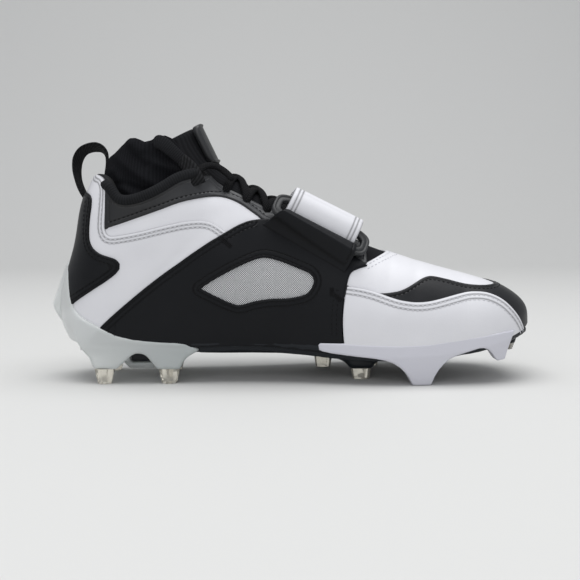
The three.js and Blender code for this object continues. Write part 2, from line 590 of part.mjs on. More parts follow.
function studPieces(stud) {
  const middle = [stud.x * LAST_LENGTH, stud.y * BALL_WIDTH];
  const floor = stud.lift * STUD_TIP_HEIGHT;
  const root = bottomZ(middle[0]) + 2;
  const [length, width] = [stud.length * STUD_TIP_LENGTH, stud.width * STUD_TIP_WIDTH];
  const [rootLength, rootWidth] = [stud.rootX * STUD_ROOT_LENGTH, stud.rootY * STUD_ROOT_WIDTH];
  const shift = stud.shift * STUD_ROOT_LENGTH;
  const ring = (share, z) => roundedRing(
    [middle[0] + shift * share, middle[1]],
    length * 1.12 + (rootLength - length * 1.12) * share,
    width * 1.12 + (rootWidth - width * 1.12) * share, z,
  );
  const plate = bottomZ(middle[0] - length / 2) - CLEARANCE - RAIL_WALL;
  const start = Math.min(floor + STUD_TIP_HEIGHT, plate - STUD_NECK);
  const body = loft([...[0, 0.4, 0.75, 1].map((share) => (
    ring(share ** STUD_FLARE, start + (plate + STUD_NECK - start) * share)
  )), ring(1, root)]);
  const top = start - CLEARANCE;
  const tip = loft([
    roundedRing(middle, length * 0.8, width * 0.8, floor),
    roundedRing(middle, length, width, floor + (top - floor) * 0.3),
    roundedRing(middle, length * 1.12, width * 1.12, top),
  ]);
  return { body, tip };
}

function buildSole() {
  const shell = layer(CLEARANCE, CLEARANCE + PLATE_WALL);
  const inside = last(CLEARANCE);
  const join = HEEL_PLATE_EDGE.filter(([x]) => x >= 0.24 * LAST_LENGTH)
    .concat([[0.296 * LAST_LENGTH, 0], [0.29 * LAST_LENGTH, -FAR]]);
  const ahead = sideCut([[2 * FAR, FAR], [join[0][0] + CLEARANCE, FAR],
    ...shifted(join, CLEARANCE * 1.5, CLEARANCE), [2 * FAR, -FAR]]);
  const behind = sideCut([[-FAR, FAR], [join[0][0], FAR], ...join, [-FAR, -FAR]]);
  const railZone = (grow) => planPrism([
    ...featherLine(-1, BALL_WIDTH), ...featherLine(-1, -RAIL_WIDTH - grow).reverse(),
  ], -FAR, SOLE_HEIGHT * 2.5).intersect(sideCut([
    [RAIL_REAR - grow, -FAR], [RAIL_FRONT + grow, -FAR], [RAIL_FRONT + grow, FAR],
    [RAIL_REAR - grow, FAR],
  ]));
  let heel = shell.intersect(sideCut(below(HEEL_PLATE_EDGE))).intersect(behind);
  let fore = shell.intersect(sideCut(below(FORE_PLATE_EDGE))).intersect(ahead)
    .subtract(railZone(CLEARANCE));
  let rail = layer(CLEARANCE, CLEARANCE + RAIL_WALL).intersect(sideCut(below(FORE_PLATE_EDGE)))
    .intersect(railZone(0));
  const fin = sidePrism(FIN_OUTLINE.map(([x, z]) => [x * LAST_LENGTH, z * INSTEP_HEIGHT]),
    -FIN_THICKNESS / 2, FIN_THICKNESS / 2).subtract(last(2 * CLEARANCE + LEATHER));
  heel = heel.add(fin);
  const tips = [];
  for (const stud of STUDS) {
    const { body, tip } = studPieces(stud);
    const plate = stud.part === "heel" ? HEEL_PLATE_EDGE : FORE_PLATE_EDGE;
    const cut = body.subtract(inside).intersect(sideCut(below(plate)));
    if (stud.part === "heel") heel = heel.add(cut);
    if (stud.part === "fore") fore = fore.add(cut);
    if (stud.part === "rail") rail = rail.add(cut);
    tips.push([stud, tip]);
  }
  const railStuds = STUDS.filter((stud) => stud.part === "rail").map(studPieces);
  for (const { body } of railStuds) fore = fore.subtract(body);
  for (const stud of STUDS.filter(({ part }) => part === "fore")) {
    rail = rail.subtract(studPieces(stud).body);
  }
  add("heel_plate", heel, CLEAR_PLATE);
  add("forefoot_plate", fore.subtract(railZone(CLEARANCE)), BLACK_PLATE);
  add("medial_rail", rail, WHITE_PLATE);
  for (const [stud, tip] of tips) {
    add(`stud_tip_${stud.name}`, tip, stud.part === "rail" ? WHITE_PLATE : CLEAR_TIP);
  }
}

// Heel fin in the side view: x as a share of LAST_LENGTH and z of INSTEP_HEIGHT.
const FIN_OUTLINE = [
  [0.02, 0.560], [0, 0.540], [-0.009, 0.479], [-0.019, 0.408], [-0.030, 0.337], [-0.015, 0.285],
  [0.017, 0.199], [0.043, 0.140], [0.09, 0.16], [0.09, 0.30],
];

// A frame on the medial side of the instep: s runs down towards the toe, t down the medial side and
// n out of the surface.
const SLOPE = radians(STRAP_SLOPE);
const TILT = radians(RING_TILT);
function strapPoint(s, t, n) {
  const across = [Math.sin(SLOPE), 0, Math.cos(SLOPE)];
  const out = [0, 1, 2].map((k) => across[k] * Math.cos(TILT) + (k === 1 ? -Math.sin(TILT) : 0));
  const down = [0, 1, 2].map((k) => -across[k] * Math.sin(TILT) + (k === 1 ? -Math.cos(TILT) : 0));
  const middle = [RING_X, RING_Y, RING_Z];
  const along = [Math.cos(SLOPE), 0, -Math.sin(SLOPE)];
  return [0, 1, 2].map((k) => middle[k] + along[k] * s + down[k] * t + out[k] * n);
}
function strapBlock(sizes, from, to) {
  const ring = (s) => sizes.map(([t, n]) => strapPoint(s, t, n));
  return loft([ring(from), ring(to)]);
}
const blockOf = (s0, s1, t0, t1, n0, n1) => strapBlock([[t0, n0], [t1, n0], [t1, n1], [t0, n1]], s0, s1);

// The half of space on one side of the last's top line, a hair past it so that halves join.
function ridgeSide(side) {
  const line = SECTIONS.map((row) => [row.x * LAST_LENGTH, ridgeY(row.x * LAST_LENGTH) - side * 0.05]);
  return planPrism([...line, [line.at(-1)[0], side * FAR], [line[0][0], side * FAR]], -FAR, FAR);
}

function buildStrap() {
  const [long, high] = [RING_LENGTH / 2, RING_HEIGHT / 2];
  const thick = RING_THICKNESS / 2;
  const ring = blockOf(-long, long, -high, high, -thick, thick)
    .subtract(blockOf(-long + RING_BAR, long - RING_BAR, -high + RING_BAR, high - RING_BAR,
      -2 * thick, 2 * thick));
  add("strap_ring", ring, BLACK_RUBBER);
  const space = blockOf(-long, long, -high - CLEARANCE, high + CLEARANCE, -thick - CLEARANCE,
    thick + CLEARANCE).subtract(blockOf(-long, long, -high + RING_BAR + CLEARANCE,
    high - RING_BAR - CLEARANCE, -2 * thick, 2 * thick));
  const pass = (from, to) => ridgeSide(-1).intersect(
    last(STRAP_MEDIAL_REST + to, STRAP_TOP_REST + to)
      .subtract(last(STRAP_MEDIAL_REST + from, STRAP_TOP_REST + from)),
  ).add(ridgeSide(1).intersect(
    last(STRAP_LATERAL_REST + to, STRAP_TOP_REST + to)
      .subtract(last(STRAP_LATERAL_REST + from, STRAP_TOP_REST + from)),
  ));
  const gap = RING_THICKNESS - 0.6;
  const inner = pass(0, STRAP_THICKNESS);
  const outer = pass(STRAP_THICKNESS + gap, 2 * STRAP_THICKNESS + gap);
  const whole = pass(0, 2 * STRAP_THICKNESS + gap);
  const width = STRAP_WIDTH / 2;
  const band = (t0, t1) => blockOf(-width, width, t0, t1, -FAR / 3, FAR / 3);
  const foldAt = -high + RING_BAR + CLEARANCE + STRAP_THICKNESS;
  const wrapped = blockOf(-width, width, foldAt - STRAP_THICKNESS, foldAt, -FAR / 8, FAR / 8);
  const free = blockOf(-width, width, -FAR, foldAt, -FAR, FAR);
  const lateralEnd = sideCut([[-FAR, STRAP_FREE_END], [FAR, STRAP_FREE_END], [FAR, FAR], [-FAR, FAR]]);
  const lateralRoot = sideCut([[-FAR, STRAP_ROOT], [FAR, STRAP_ROOT], [FAR, FAR], [-FAR, FAR]]);
  const strap = inner.intersect(free).intersect(lateralRoot)
    .add(outer.intersect(free).intersect(lateralEnd))
    .add(whole.intersect(wrapped)).subtract(space);
  add("strap", strap, WHITE_LEATHER);
  const tabSkin = layer(2 * CLEARANCE + LEATHER, 2 * CLEARANCE + LEATHER + TAB_THICKNESS);
  add("strap_tab", tabSkin.intersect(HALVES.medial)
    .intersect(blockOf(-width - 1, width + 1, high - RING_BAR, TAB_REACH, -FAR / 6, FAR / 6))
    .subtract(space).subtract(ring), BLACK_KNIT);
}

// A point on the last, grown by an offset, at a length x and a distance y from the centre plane.
function surfacePoint(x, y, offset) {
  const side = y < ridgeY(x) ? -1 : 1;
  const rib = ribAt("middle", x, side);
  let [low, high] = [0, 90];
  for (let i = 0; i < 24; i += 1) {
    const middle = (low + high) / 2;
    if ((ribPoint(rib, middle, offset)[1] - y) * side > 0) low = middle;
    else high = middle;
  }
  return new THREE.Vector3(...ribPoint(rib, high, offset));
}

// Lace: one flat-woven round cord that crosses the tongue between rows of eyelets.
function buildLaces() {
  const radius = LACE_DIAMETER / 2;
  const section = new THREE.Shape(Array.from({ length: 6 }, (_, i) => new THREE.Vector2(
    radius * Math.cos(radians(60 * i)), radius * Math.sin(radians(60 * i)),
  )));
  const height = LACE_REST + radius;
  const eyelet = (row, side) => {
    const x = LACE_TOP + LACE_PITCH * row;
    const share = (x - THROAT_REAR) / (THROAT_FRONT - THROAT_REAR);
    const across = THROAT_REAR_HALF + (THROAT_FRONT_HALF - THROAT_REAR_HALF) * share + EYELET_INSET;
    return [x, ridgeY(x) + side * across];
  };
  let lace = null;
  for (let row = 0; row + 1 < LACE_ROWS; row += 1) {
    for (const side of [-1, 1]) {
      const [from, to] = [eyelet(row, side), eyelet(row + 1, -side)];
      const points = [0, 0.2, 0.4, 0.6, 0.8, 1].map((share) => surfacePoint(
        from[0] + (to[0] - from[0]) * share, from[1] + (to[1] - from[1]) * share, height,
      ));
      const cord = solidFromGeometry(new THREE.ExtrudeGeometry(section, {
        steps: 3, bevelEnabled: false, extrudePath: new THREE.CatmullRomCurve3(points),
      }));
      lace = lace ? lace.add(cord) : cord;
    }
  }
  add("lace_crossings", lace, BLACK_KNIT);
}

// Cuff band: the folded edge of the knit cuff, which runs down each side to the top lace row, where
// a webbing keeper holds the lace. Pull loop: webbing sewn to the heel inside and out.
function buildCuffAndLoop() {
  const outer = -UPPER_WALL;
  const bandZone = sideCut(CUFF_BAND.map(([x, z]) => [x * LAST_LENGTH, z * INSTEP_HEIGHT]))
    .subtract(sideCut(below(shifted(COLLAR_EDGE, 0, CLEARANCE))));
  const band = layer(outer, outer + KNIT_WALL).intersect(bandZone);
  const keeperZone = sideCut(KEEPER_OUTLINE.map(([x, z]) => [x * LAST_LENGTH, z * INSTEP_HEIGHT]));
  const keeper = layer(2 * CLEARANCE + LEATHER, 2 * CLEARANCE + LEATHER + KEEPER_THICKNESS)
    .intersect(keeperZone);
  const behindTongue = sidePrism([[SOCK_FRONT - 12, 0], [FAR, 0], [FAR, FAR], [SOCK_FRONT - 12, FAR]],
    -TONGUE_WIDTH / 2 - CLEARANCE, TONGUE_WIDTH / 2 + CLEARANCE);
  for (const [name, side] of Object.entries(HALVES)) {
    add(`cuff_band_${name}`, band.intersect(side).subtract(behindTongue), BLACK_KNIT);
    add(`lace_keeper_${name}`, keeper.intersect(side).subtract(behindTongue), BLACK_KNIT);
  }
  const outline = (shares) => shares.map(([x, z]) => [x * LAST_LENGTH, z * INSTEP_HEIGHT]);
  const loop = sidePrism(outline(LOOP_OUTER), -LOOP_WIDTH / 2, LOOP_WIDTH / 2)
    .subtract(sidePrism(outline(LOOP_INNER), -LOOP_WIDTH, LOOP_WIDTH));
  const wall = last(CLEARANCE).subtract(last(outer - 2 * CLEARANCE - KNIT_WALL))
    .intersect(sideCut(below([[-FAR, LOOP_REST * INSTEP_HEIGHT], [FAR, LOOP_REST * INSTEP_HEIGHT]])));
  add("pull_loop", loop.subtract(wall), BLACK_KNIT);
}

// Outlines in the side view: x as a share of LAST_LENGTH and z of INSTEP_HEIGHT.
const CUFF_BAND = [[0.208, 1.105], [0.232, 1.155], [0.262, 1.120], [0.345, 0.985], [0.315, 0.940]];
const KEEPER_OUTLINE = [[0.303, 0.965], [0.335, 0.975], [0.342, 0.905], [0.322, 0.900]];
const LOOP_OUTER = [
  [0.076, 0.866], [0.059, 0.890], [0.048, 0.953], [0.044, 1.024], [0.047, 1.049], [0.058, 1.082],
  [0.076, 1.100], [0.097, 1.106], [0.113, 1.094], [0.125, 1.050], [0.125, 0.940], [0.105, 0.930],
];
const LOOP_INNER = [
  [0.082, 0.850], [0.068, 0.891], [0.062, 0.953], [0.062, 1.000], [0.074, 1.034], [0.094, 1.055],
  [0.106, 1.056], [0.112, 1.030], [0.113, 0.948], [0.100, 0.930],
];

buildUpper();
buildInsole();
buildSock();
buildTongue();
buildOverlays();
buildSole();
buildStrap();
buildLaces();
buildCuffAndLoop();

// The origin is the middle of the box around the whole shoe, on the floor.
const box = new THREE.Box3().setFromObject(shoe);
shoe.position.set(-(box.min.x + box.max.x) / 2, -(box.min.y + box.max.y) / 2, -box.min.z);

export default group;
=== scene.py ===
import math

import bmesh
import bpy
import numpy as np
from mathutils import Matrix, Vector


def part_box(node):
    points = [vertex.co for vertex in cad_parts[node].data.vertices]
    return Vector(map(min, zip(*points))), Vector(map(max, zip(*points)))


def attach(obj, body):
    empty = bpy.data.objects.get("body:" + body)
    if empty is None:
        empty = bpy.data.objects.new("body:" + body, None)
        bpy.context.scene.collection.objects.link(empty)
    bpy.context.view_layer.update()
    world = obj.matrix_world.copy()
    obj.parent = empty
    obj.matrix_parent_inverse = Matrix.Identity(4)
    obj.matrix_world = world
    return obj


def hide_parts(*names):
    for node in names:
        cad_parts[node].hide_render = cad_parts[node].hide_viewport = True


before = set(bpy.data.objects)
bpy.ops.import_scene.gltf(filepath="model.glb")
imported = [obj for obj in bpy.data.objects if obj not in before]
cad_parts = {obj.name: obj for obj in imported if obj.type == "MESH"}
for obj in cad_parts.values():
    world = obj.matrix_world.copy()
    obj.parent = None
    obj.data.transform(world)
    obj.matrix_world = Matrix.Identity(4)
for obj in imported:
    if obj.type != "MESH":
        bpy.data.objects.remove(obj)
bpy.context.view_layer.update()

# Studio. The shoe stands side on, its medial side to the camera, on a pale seamless sweep that
# runs up into a pale grey wall. One big soft light hangs overhead and a weaker one fills from the
# front. The camera stands 638 mm off and 114 mm up, level, with its picture shifted down.
MM = 0.001
CAMERA_PLACE = (-29.4 * MM, -637.9 * MM, 113.6 * MM)
CAMERA_TURN_DEG = 2.5
CAMERA_LENS_MM = 61.7
CAMERA_SHIFT = -0.1603
SWEEP_FRONT, SWEEP_BACK, SWEEP_RADIUS, SWEEP_TOP, SWEEP_HALF = -1.6, 0.95, 0.8, 3.2, 3.0


def grid_faces(rows, columns, wrap=False):
    """Quads of a grid whose point (row, column) has index row * columns + column."""
    wide = columns if wrap else columns - 1
    r, c = np.meshgrid(np.arange(rows - 1), np.arange(wide), indexing="ij")
    first, step = (r * columns + c).ravel(), (r * columns + (c + 1) % columns).ravel()
    return np.stack([first, step, step + columns, first + columns], axis=1)


def mesh_object(name, points, faces, material=None, smooth=True):
    """A mesh object with its points in metres, at the origin."""
    mesh = bpy.data.meshes.new(name)
    mesh.from_pydata(np.asarray(points, float).tolist(), [], np.asarray(faces).tolist())
    mesh.polygons.foreach_set("use_smooth", [smooth] * len(mesh.polygons))
    mesh.update()
    made = bpy.data.objects.new(name, mesh)
    bpy.context.scene.collection.objects.link(made)
    if material:
        mesh.materials.append(material)
    return made


def point_values(piece, name, values):
    """Keeps one number for each point of a piece, for its material to read."""
    piece.data.attributes.new(name, "FLOAT", "POINT").data.foreach_set("value", values)


class Link:
    """One output of a shader node. An expression on it adds the Math nodes that work it out."""

    def __init__(self, finish, node, socket):
        self.finish, self.node, self.socket = finish, node, socket

    def output(self, name):
        return Link(self.finish, self.node, self.node.outputs[name])

    def math(self, operation, *values):
        return self.finish.node("ShaderNodeMath", {"operation": operation}, values)

    def __add__(self, other):
        return self.math("ADD", self, other)

    def __sub__(self, other):
        return self.math("SUBTRACT", self, other)

    def __mul__(self, other):
        return self.math("MULTIPLY", self, other)

    def __truediv__(self, other):
        return self.math("DIVIDE", self, other)

    def __pow__(self, other):
        return self.math("POWER", self, other)

    def __rsub__(self, other):
        return self.math("SUBTRACT", other, self)

    __radd__, __rmul__ = __add__, __mul__

    def clamped(self, low=0.0, high=1.0):
        return self.finish.node("ShaderNodeClamp", {}, [self, low, high])

    def ridge(self, middle, width):
        """1 at the middle, falling as a bell to nothing about two widths away."""
        off = (self - middle) / width
        return self.math("EXPONENT", off * off * -1.0)


class Finish:
    """A material with one Principled shader. set() gives its sockets numbers, colours or links."""

    def __init__(self, name, **sockets):
        self.material = bpy.data.materials.new(name)
        self.material.use_nodes = True
        self.tree = self.material.node_tree
        self.shader = self.tree.nodes["Principled BSDF"]
        for socket, value in sockets.items():
            self.set(socket.replace("_", " "), value)

    def node(self, kind, settings, inputs):
        made = self.tree.nodes.new(kind)
        for key, value in settings.items():
            setattr(made, key, value)
        pairs = inputs.items() if isinstance(inputs, dict) else enumerate(inputs)
        for key, value in pairs:
            self.feed(made.inputs[key], value)
        shown = [socket for socket in made.outputs if socket.enabled]
        return Link(self, made, shown[0])

    def feed(self, socket, value):
        if isinstance(value, Link):
            self.tree.links.new(value.socket, socket)
        elif isinstance(value, (tuple, list)) and socket.type == "RGBA" and len(value) == 3:
            socket.default_value = (*value, 1)
        else:
            socket.default_value = value

    def set(self, socket, value):
        self.feed(self.shader.inputs[socket], value)

    def place(self):
        return self.node("ShaderNodeTexCoord", {}, {}).output("Object")

    def along_x(self):
        return self.node("ShaderNodeSeparateXYZ", {}, [self.place()]).output("X")

    def noise(self, scale, detail):
        sockets = {"Vector": self.place(), "Scale": scale, "Detail": detail, "Roughness": 0.5}
        return self.node("ShaderNodeTexNoise", {}, sockets)

    def pebbles(self, scale):
        sockets = {"Vector": self.place(), "Scale": scale}
        return self.node("ShaderNodeTexVoronoi", {"feature": "SMOOTH_F1"}, sockets)

    def attribute(self, name):
        return self.node("ShaderNodeAttribute", {"attribute_name": name}, {}).output("Fac")

    def mix(self, share, first, second):
        return self.node("ShaderNodeMix", {"data_type": "RGBA"}, {0: share, 6: first, 7: second})

    def bump(self, *heights):
        """Each height is (link, strength, distance in metres), laid over the ones before it."""
        normal = None
        for height, strength, distance in heights:
            sockets = {"Height": height, "Strength": strength, "Distance": distance}
            if normal:
                sockets["Normal"] = normal
            normal = self.node("ShaderNodeBump", {}, sockets)
        self.set("Normal", normal)


def sweep_points():
    """Floor, a quarter round of SWEEP_RADIUS, then wall, carried across from side to side."""
    turn = np.linspace(0, math.pi / 2, 24)
    profile = np.array([
        (SWEEP_FRONT, 0.0),
        *zip(SWEEP_BACK + SWEEP_RADIUS * np.sin(turn), SWEEP_RADIUS * (1 - np.cos(turn))),
        (SWEEP_BACK + SWEEP_RADIUS, SWEEP_TOP),
    ])
    across = np.linspace(-SWEEP_HALF, SWEEP_HALF, 2)
    return np.array([(x, y, z) for x in across for y, z in profile]), len(profile)


paper = Finish("sweep_paper", Base_Color=(0.64, 0.64, 0.625), Roughness=0.8)
sweep_grid, sweep_columns = sweep_points()
sweep = mesh_object("sweep", sweep_grid, grid_faces(2, sweep_columns), paper.material)


def soft_light(name, place, aim, size, power):
    """A rectangular lamp whose face looks from its place, in metres, towards an aim."""
    lamp = bpy.data.lights.new(name, "AREA")
    lamp.shape, lamp.size, lamp.size_y = "RECTANGLE", size[0], size[1]
    lamp.energy = power
    made = bpy.data.objects.new(name, lamp)
    bpy.context.scene.collection.objects.link(made)
    made.location = place
    towards = [a - p for a, p in zip(aim, place)]
    flat = math.hypot(towards[0], towards[1])
    made.rotation_euler = (math.atan2(flat, -towards[2]), 0, math.atan2(-towards[0], towards[1]))


soft_light("overhead", (0.05, -0.15, 1.5), (0.02, 0.0, 0.0), (1.5, 1.2), 20)
soft_light("front_fill", (-0.5, -1.7, 0.9), (0.0, 0.0, 0.05), (1.2, 0.8), 5)
world = bpy.data.worlds.new("studio_air")
world.use_nodes = True
world.node_tree.nodes["Background"].inputs["Color"].default_value = (0.93, 0.95, 1.0, 1)
world.node_tree.nodes["Background"].inputs["Strength"].default_value = 0.55
bpy.context.scene.world = world
bpy.context.scene.view_settings.view_transform = "Standard"

camera_data = bpy.data.cameras.new("camera")
camera_data.lens, camera_data.sensor_width = CAMERA_LENS_MM, 36
camera_data.clip_start, camera_data.clip_end = 0.02, 20
camera_data.shift_y = CAMERA_SHIFT
camera = bpy.data.objects.new("camera", camera_data)
bpy.context.scene.collection.objects.link(camera)
camera.location = CAMERA_PLACE
camera.rotation_euler = (math.radians(90), 0, math.radians(-CAMERA_TURN_DEG))
bpy.context.scene.camera = camera

# Upper. A shell lasted over a left foot's last and closed at the heel, in black lining leather. It is
# the base that every other panel is sewn on. Ribs stand square to the length and fan out round heel
# and toe.
# The last is 292 mm long and 92 mm wide at the ball, and the instep line is 134 mm high at the ankle.
LAST_LENGTH, BALL_WIDTH, INSTEP_HEIGHT, SOLE_HEIGHT = 292.0, 92.0, 134.0, 17.5
TOE_RADIUS, TOE_SIDE_SHIFT, TOE_TIP_RISE, TOE_TIP_FULLNESS = 46.0, 8.0, 13.0, 4.0
HEEL_LEAN, HEEL_LEAN_START, COLLAR_HEIGHT, LEAN_REACH = 20.0, 45.0, 131.0, 90.0
HEEL_POWER, TOE_POWER = 2.2, 2.25
# x, medial, lateral, arch, outside, ridge, bottom, top, fullness
SECTIONS = np.array([
    (0.110, 0.315, 0.315, 0.045, 0.045, 0.000, 1.32, 1.340, 4.2),
    (0.171, 0.325, 0.330, 0.050, 0.050, 0.000, 1.27, 1.350, 4.2),
    (0.240, 0.325, 0.342, 0.055, 0.045, 0.000, 1.24, 1.260, 3.8),
    (0.308, 0.318, 0.360, 0.070, 0.040, 0.011, 1.27, 1.000, 3.2),
    (0.377, 0.312, 0.382, 0.085, 0.035, 0.033, 1.31, 0.905, 2.9),
    (0.445, 0.325, 0.412, 0.080, 0.033, 0.044, 1.27, 0.822, 2.8),
    (0.514, 0.352, 0.452, 0.060, 0.030, 0.054, 1.15, 0.762, 2.8),
    (0.582, 0.397, 0.490, 0.043, 0.027, 0.065, 1.04, 0.692, 2.7),
    (0.651, 0.438, 0.515, 0.035, 0.027, 0.076, 1.00, 0.618, 2.6),
    (0.719, 0.462, 0.515, 0.033, 0.027, 0.087, 1.00, 0.567, 2.6),
    (0.788, 0.458, 0.485, 0.030, 0.025, 0.087, 1.08, 0.521, 2.7),
    (0.842, 0.432, 0.445, 0.027, 0.022, 0.087, 1.20, 0.489, 2.9),
])
MEDIAL, LATERAL, ARCH, OUTSIDE, RIDGE, BOTTOM, TOP, FULLNESS = range(1, 9)
HEEL_PIVOT, TOE_PIVOT = SECTIONS[0, 0] * LAST_LENGTH, SECTIONS[-1, 0] * LAST_LENGTH


def section(column, x):
    """Value of a column at length x: cubic pieces, each row's slope being that of its neighbours."""
    xs, ys = SECTIONS[:, 0], SECTIONS[:, column]
    slopes = np.empty_like(xs)
    slopes[1:-1] = (ys[2:] - ys[:-2]) / (xs[2:] - xs[:-2])
    slopes[0], slopes[-1] = (ys[1] - ys[0]) / (xs[1] - xs[0]), (ys[-1] - ys[-2]) / (xs[-1] - xs[-2])
    share = np.asarray(x) / LAST_LENGTH
    i = np.clip(np.searchsorted(xs, share, side="right") - 1, 0, len(xs) - 2)
    gap = xs[i + 1] - xs[i]
    t = np.clip((share - xs[i]) / gap, 0, 1)
    return ((2 * t**3 - 3 * t**2 + 1) * ys[i] + (t**3 - 2 * t**2 + t) * slopes[i] * gap
            + (3 * t**2 - 2 * t**3) * ys[i + 1] + (t**3 - t**2) * slopes[i + 1] * gap)


def last_point(side, u, angle, offset=0.0, upward=None):
    """Point of the last in mm. u is 0 at the back of the heel, 1 to 2 along the sides and 3 at the
    toe tip; angle is 0 at the bottom edge and 90 degrees on the top line. A rib is a superellipse
    between its foot and its pole, with a swell of 4 * rise * (1 - rise) on the wall."""
    side, u, angle = np.broadcast_arrays(np.asarray(side, float), u, angle)
    upward = offset if upward is None else upward
    x = HEEL_PIVOT + (TOE_PIVOT - HEEL_PIVOT) * np.clip(u - 1, 0, 1)
    half = np.where(side < 0, section(MEDIAL, x), section(LATERAL, x)) * BALL_WIDTH
    bulge = np.where(side < 0, section(ARCH, x), section(OUTSIDE, x)) * BALL_WIDTH
    pole_y = -section(RIDGE, x) * BALL_WIDTH
    heel, toe = u < 1, u > 2
    turn = np.where(heel, np.clip(u, 0, 1), np.clip(3 - u, 0, 1)) * math.pi / 2
    power = np.where(heel, 2 / HEEL_POWER, 2 / TOE_POWER)
    along = np.where(heel | toe, np.clip(np.cos(turn), 0, 1) ** power, 0.0)
    across = np.where(heel | toe, np.clip(np.sin(turn), 0, 1) ** power, 1.0)
    tip_y = np.where(toe, -TOE_SIDE_SHIFT, 0.0)
    foot_x = x + np.where(heel, -HEEL_PIVOT, LAST_LENGTH - TOE_PIVOT) * along
    foot_y = tip_y + (side * half - tip_y) * across
    reach = np.hypot(foot_x - x, foot_y - pole_y)
    out_x = np.where(heel | toe, (foot_x - x) / reach, 0.0)
    out_y = np.where(heel | toe, (foot_y - pole_y) / reach, side)
    full = section(FULLNESS, x)
    full = full + np.where(toe, (TOE_TIP_FULLNESS - full) * along, 0.0)
    rise_angle = np.radians(angle)
    run = np.clip(np.cos(rise_angle), 0, 1) ** (2 / full)
    rise = np.clip(np.sin(rise_angle), 0, 1) ** (2 / full)
    swell = bulge * (1 - along) * 4 * rise * (1 - rise)
    px = x + (foot_x + out_x * offset - x) * run + out_x * swell
    py = pole_y + (foot_y + out_y * offset - pole_y) * run + out_y * swell
    toe_up = TOE_TIP_RISE * np.clip((foot_x - TOE_PIVOT) / TOE_RADIUS, 0, 1) ** 1.3
    low = section(BOTTOM, foot_x) * SOLE_HEIGHT + toe_up - offset
    slope = (section(TOP, TOE_PIVOT) - section(TOP, TOE_PIVOT - 16)) * INSTEP_HEIGHT / 16
    high = section(TOP, x) * INSTEP_HEIGHT + slope * np.clip(px - TOE_PIVOT, 0, None) + upward
    pz = low + (high - low) * rise
    lift = np.clip((pz - HEEL_LEAN_START) / (COLLAR_HEIGHT - HEEL_LEAN_START), 0, None)
    px = px + HEEL_LEAN * lift**2.2 * np.clip(1 - px / LEAN_REACH, 0, 1)
    return np.stack([px, py, pz], axis=-1)


def last_normal(side, u, angle):
    """Outward unit normal: the cross product of steps of 0.004 along u and 0.8 degrees up the rib.
    On the seams, where both sides meet, it is the mean of the two sides' normals."""
    side, u, angle = (np.array(v, float) for v in np.broadcast_arrays(side, u, angle))
    u = np.where((angle > 89.95) & (u > 2), 2.0, np.where((angle > 89.95) & (u < 1), 1.0, u))

    def one_side(s):
        a = np.clip(angle, 0.3, 89.7)
        ahead, behind = np.clip(u + 0.004, 0, 3), np.clip(u - 0.004, 0, 3)
        along = last_point(s, ahead, a) - last_point(s, behind, a)
        up = last_point(s, u, np.clip(angle + 0.4, 0, 89.98)) - last_point(
            s, u, np.clip(angle - 0.4, 0.02, 90))
        out = np.cross(along, up) * -s[..., None]
        return out / np.maximum(np.linalg.norm(out, axis=-1, keepdims=True), 1e-9)

    seam = (angle > 89.95) | (u < 1e-4) | (u > 3 - 1e-4)
    normal = one_side(side) + np.where(seam[..., None], one_side(-side), 0.0)
    return normal / np.maximum(np.linalg.norm(normal, axis=-1, keepdims=True), 1e-9)


# Where the last's own origin lies in the frame: the back of the heel and the centre plane.
probe_u, probe_a = np.meshgrid(np.linspace(0, 3, 121), np.linspace(0, 90, 61))
LAST_AT = np.array([
    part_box("upper")[0].x / MM - last_point(-1, probe_u, probe_a)[..., 0].min(),
    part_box("upper")[0].y / MM - last_point(-1, probe_u, probe_a)[..., 1].min(),
    0.0,
])


def to_frame(points):
    return (np.asarray(points) + LAST_AT) * MM


def lift(side, outline):
    """Turns side view points (x, z) into (u, angle): the nearest of a table, then Newton steps."""
    outline = np.asarray(outline, float)
    table = last_point(side, probe_u, probe_a)[..., [0, 2]].reshape(-1, 2)
    nearest = ((outline[:, None] - table[None]) ** 2).sum(-1).argmin(1)
    u, a = probe_u.ravel()[nearest].copy(), probe_a.ravel()[nearest].copy()
    for _ in range(12):
        here = last_point(side, u, a)[:, [0, 2]]
        by_u = (last_point(side, u + 1e-4, a)[:, [0, 2]] - here) / 1e-4
        by_a = (last_point(side, u, a - 1e-2)[:, [0, 2]] - here) / -1e-2
        miss = outline - here
        area = by_u[:, 0] * by_a[:, 1] - by_u[:, 1] * by_a[:, 0]
        area = np.where(np.abs(area) < 1e-3, np.inf, area)
        step_u = (miss[:, 0] * by_a[:, 1] - miss[:, 1] * by_a[:, 0]) / area
        step_a = (by_u[:, 0] * miss[:, 1] - by_u[:, 1] * miss[:, 0]) / area
        u = np.clip(u + np.clip(step_u, -0.05, 0.05), 0, 3)
        a = np.clip(a + np.clip(step_a, -4, 4), 0, 90)
    return u, a


def directions(path):
    """Unit steps along a path."""
    step = np.gradient(path, axis=0)
    return step / np.linalg.norm(step, axis=1, keepdims=True)


def distances_along(path):
    """Length of the path up to each of its points."""
    return np.concatenate([[0], np.cumsum(np.linalg.norm(np.diff(path, axis=0), axis=1))])


def smooth_line(points, steps=8):
    """A Catmull-Rom curve through side view points, with this many steps between two of them."""
    p = np.asarray(points, float)
    ends = np.vstack([2 * p[0] - p[1], p, 2 * p[-1] - p[-2]])
    t = np.linspace(0, 1, steps, endpoint=False)[:, None]
    parts = [
        0.5 * (2 * b + (c - a) * t + (2 * a - 5 * b + 4 * c - d) * t**2
               + (3 * b - a - 3 * c + d) * t**3)
        for a, b, c, d in zip(ends, ends[1:], ends[2:], ends[3:])
    ]
    return np.vstack([*parts, p[-1:]])


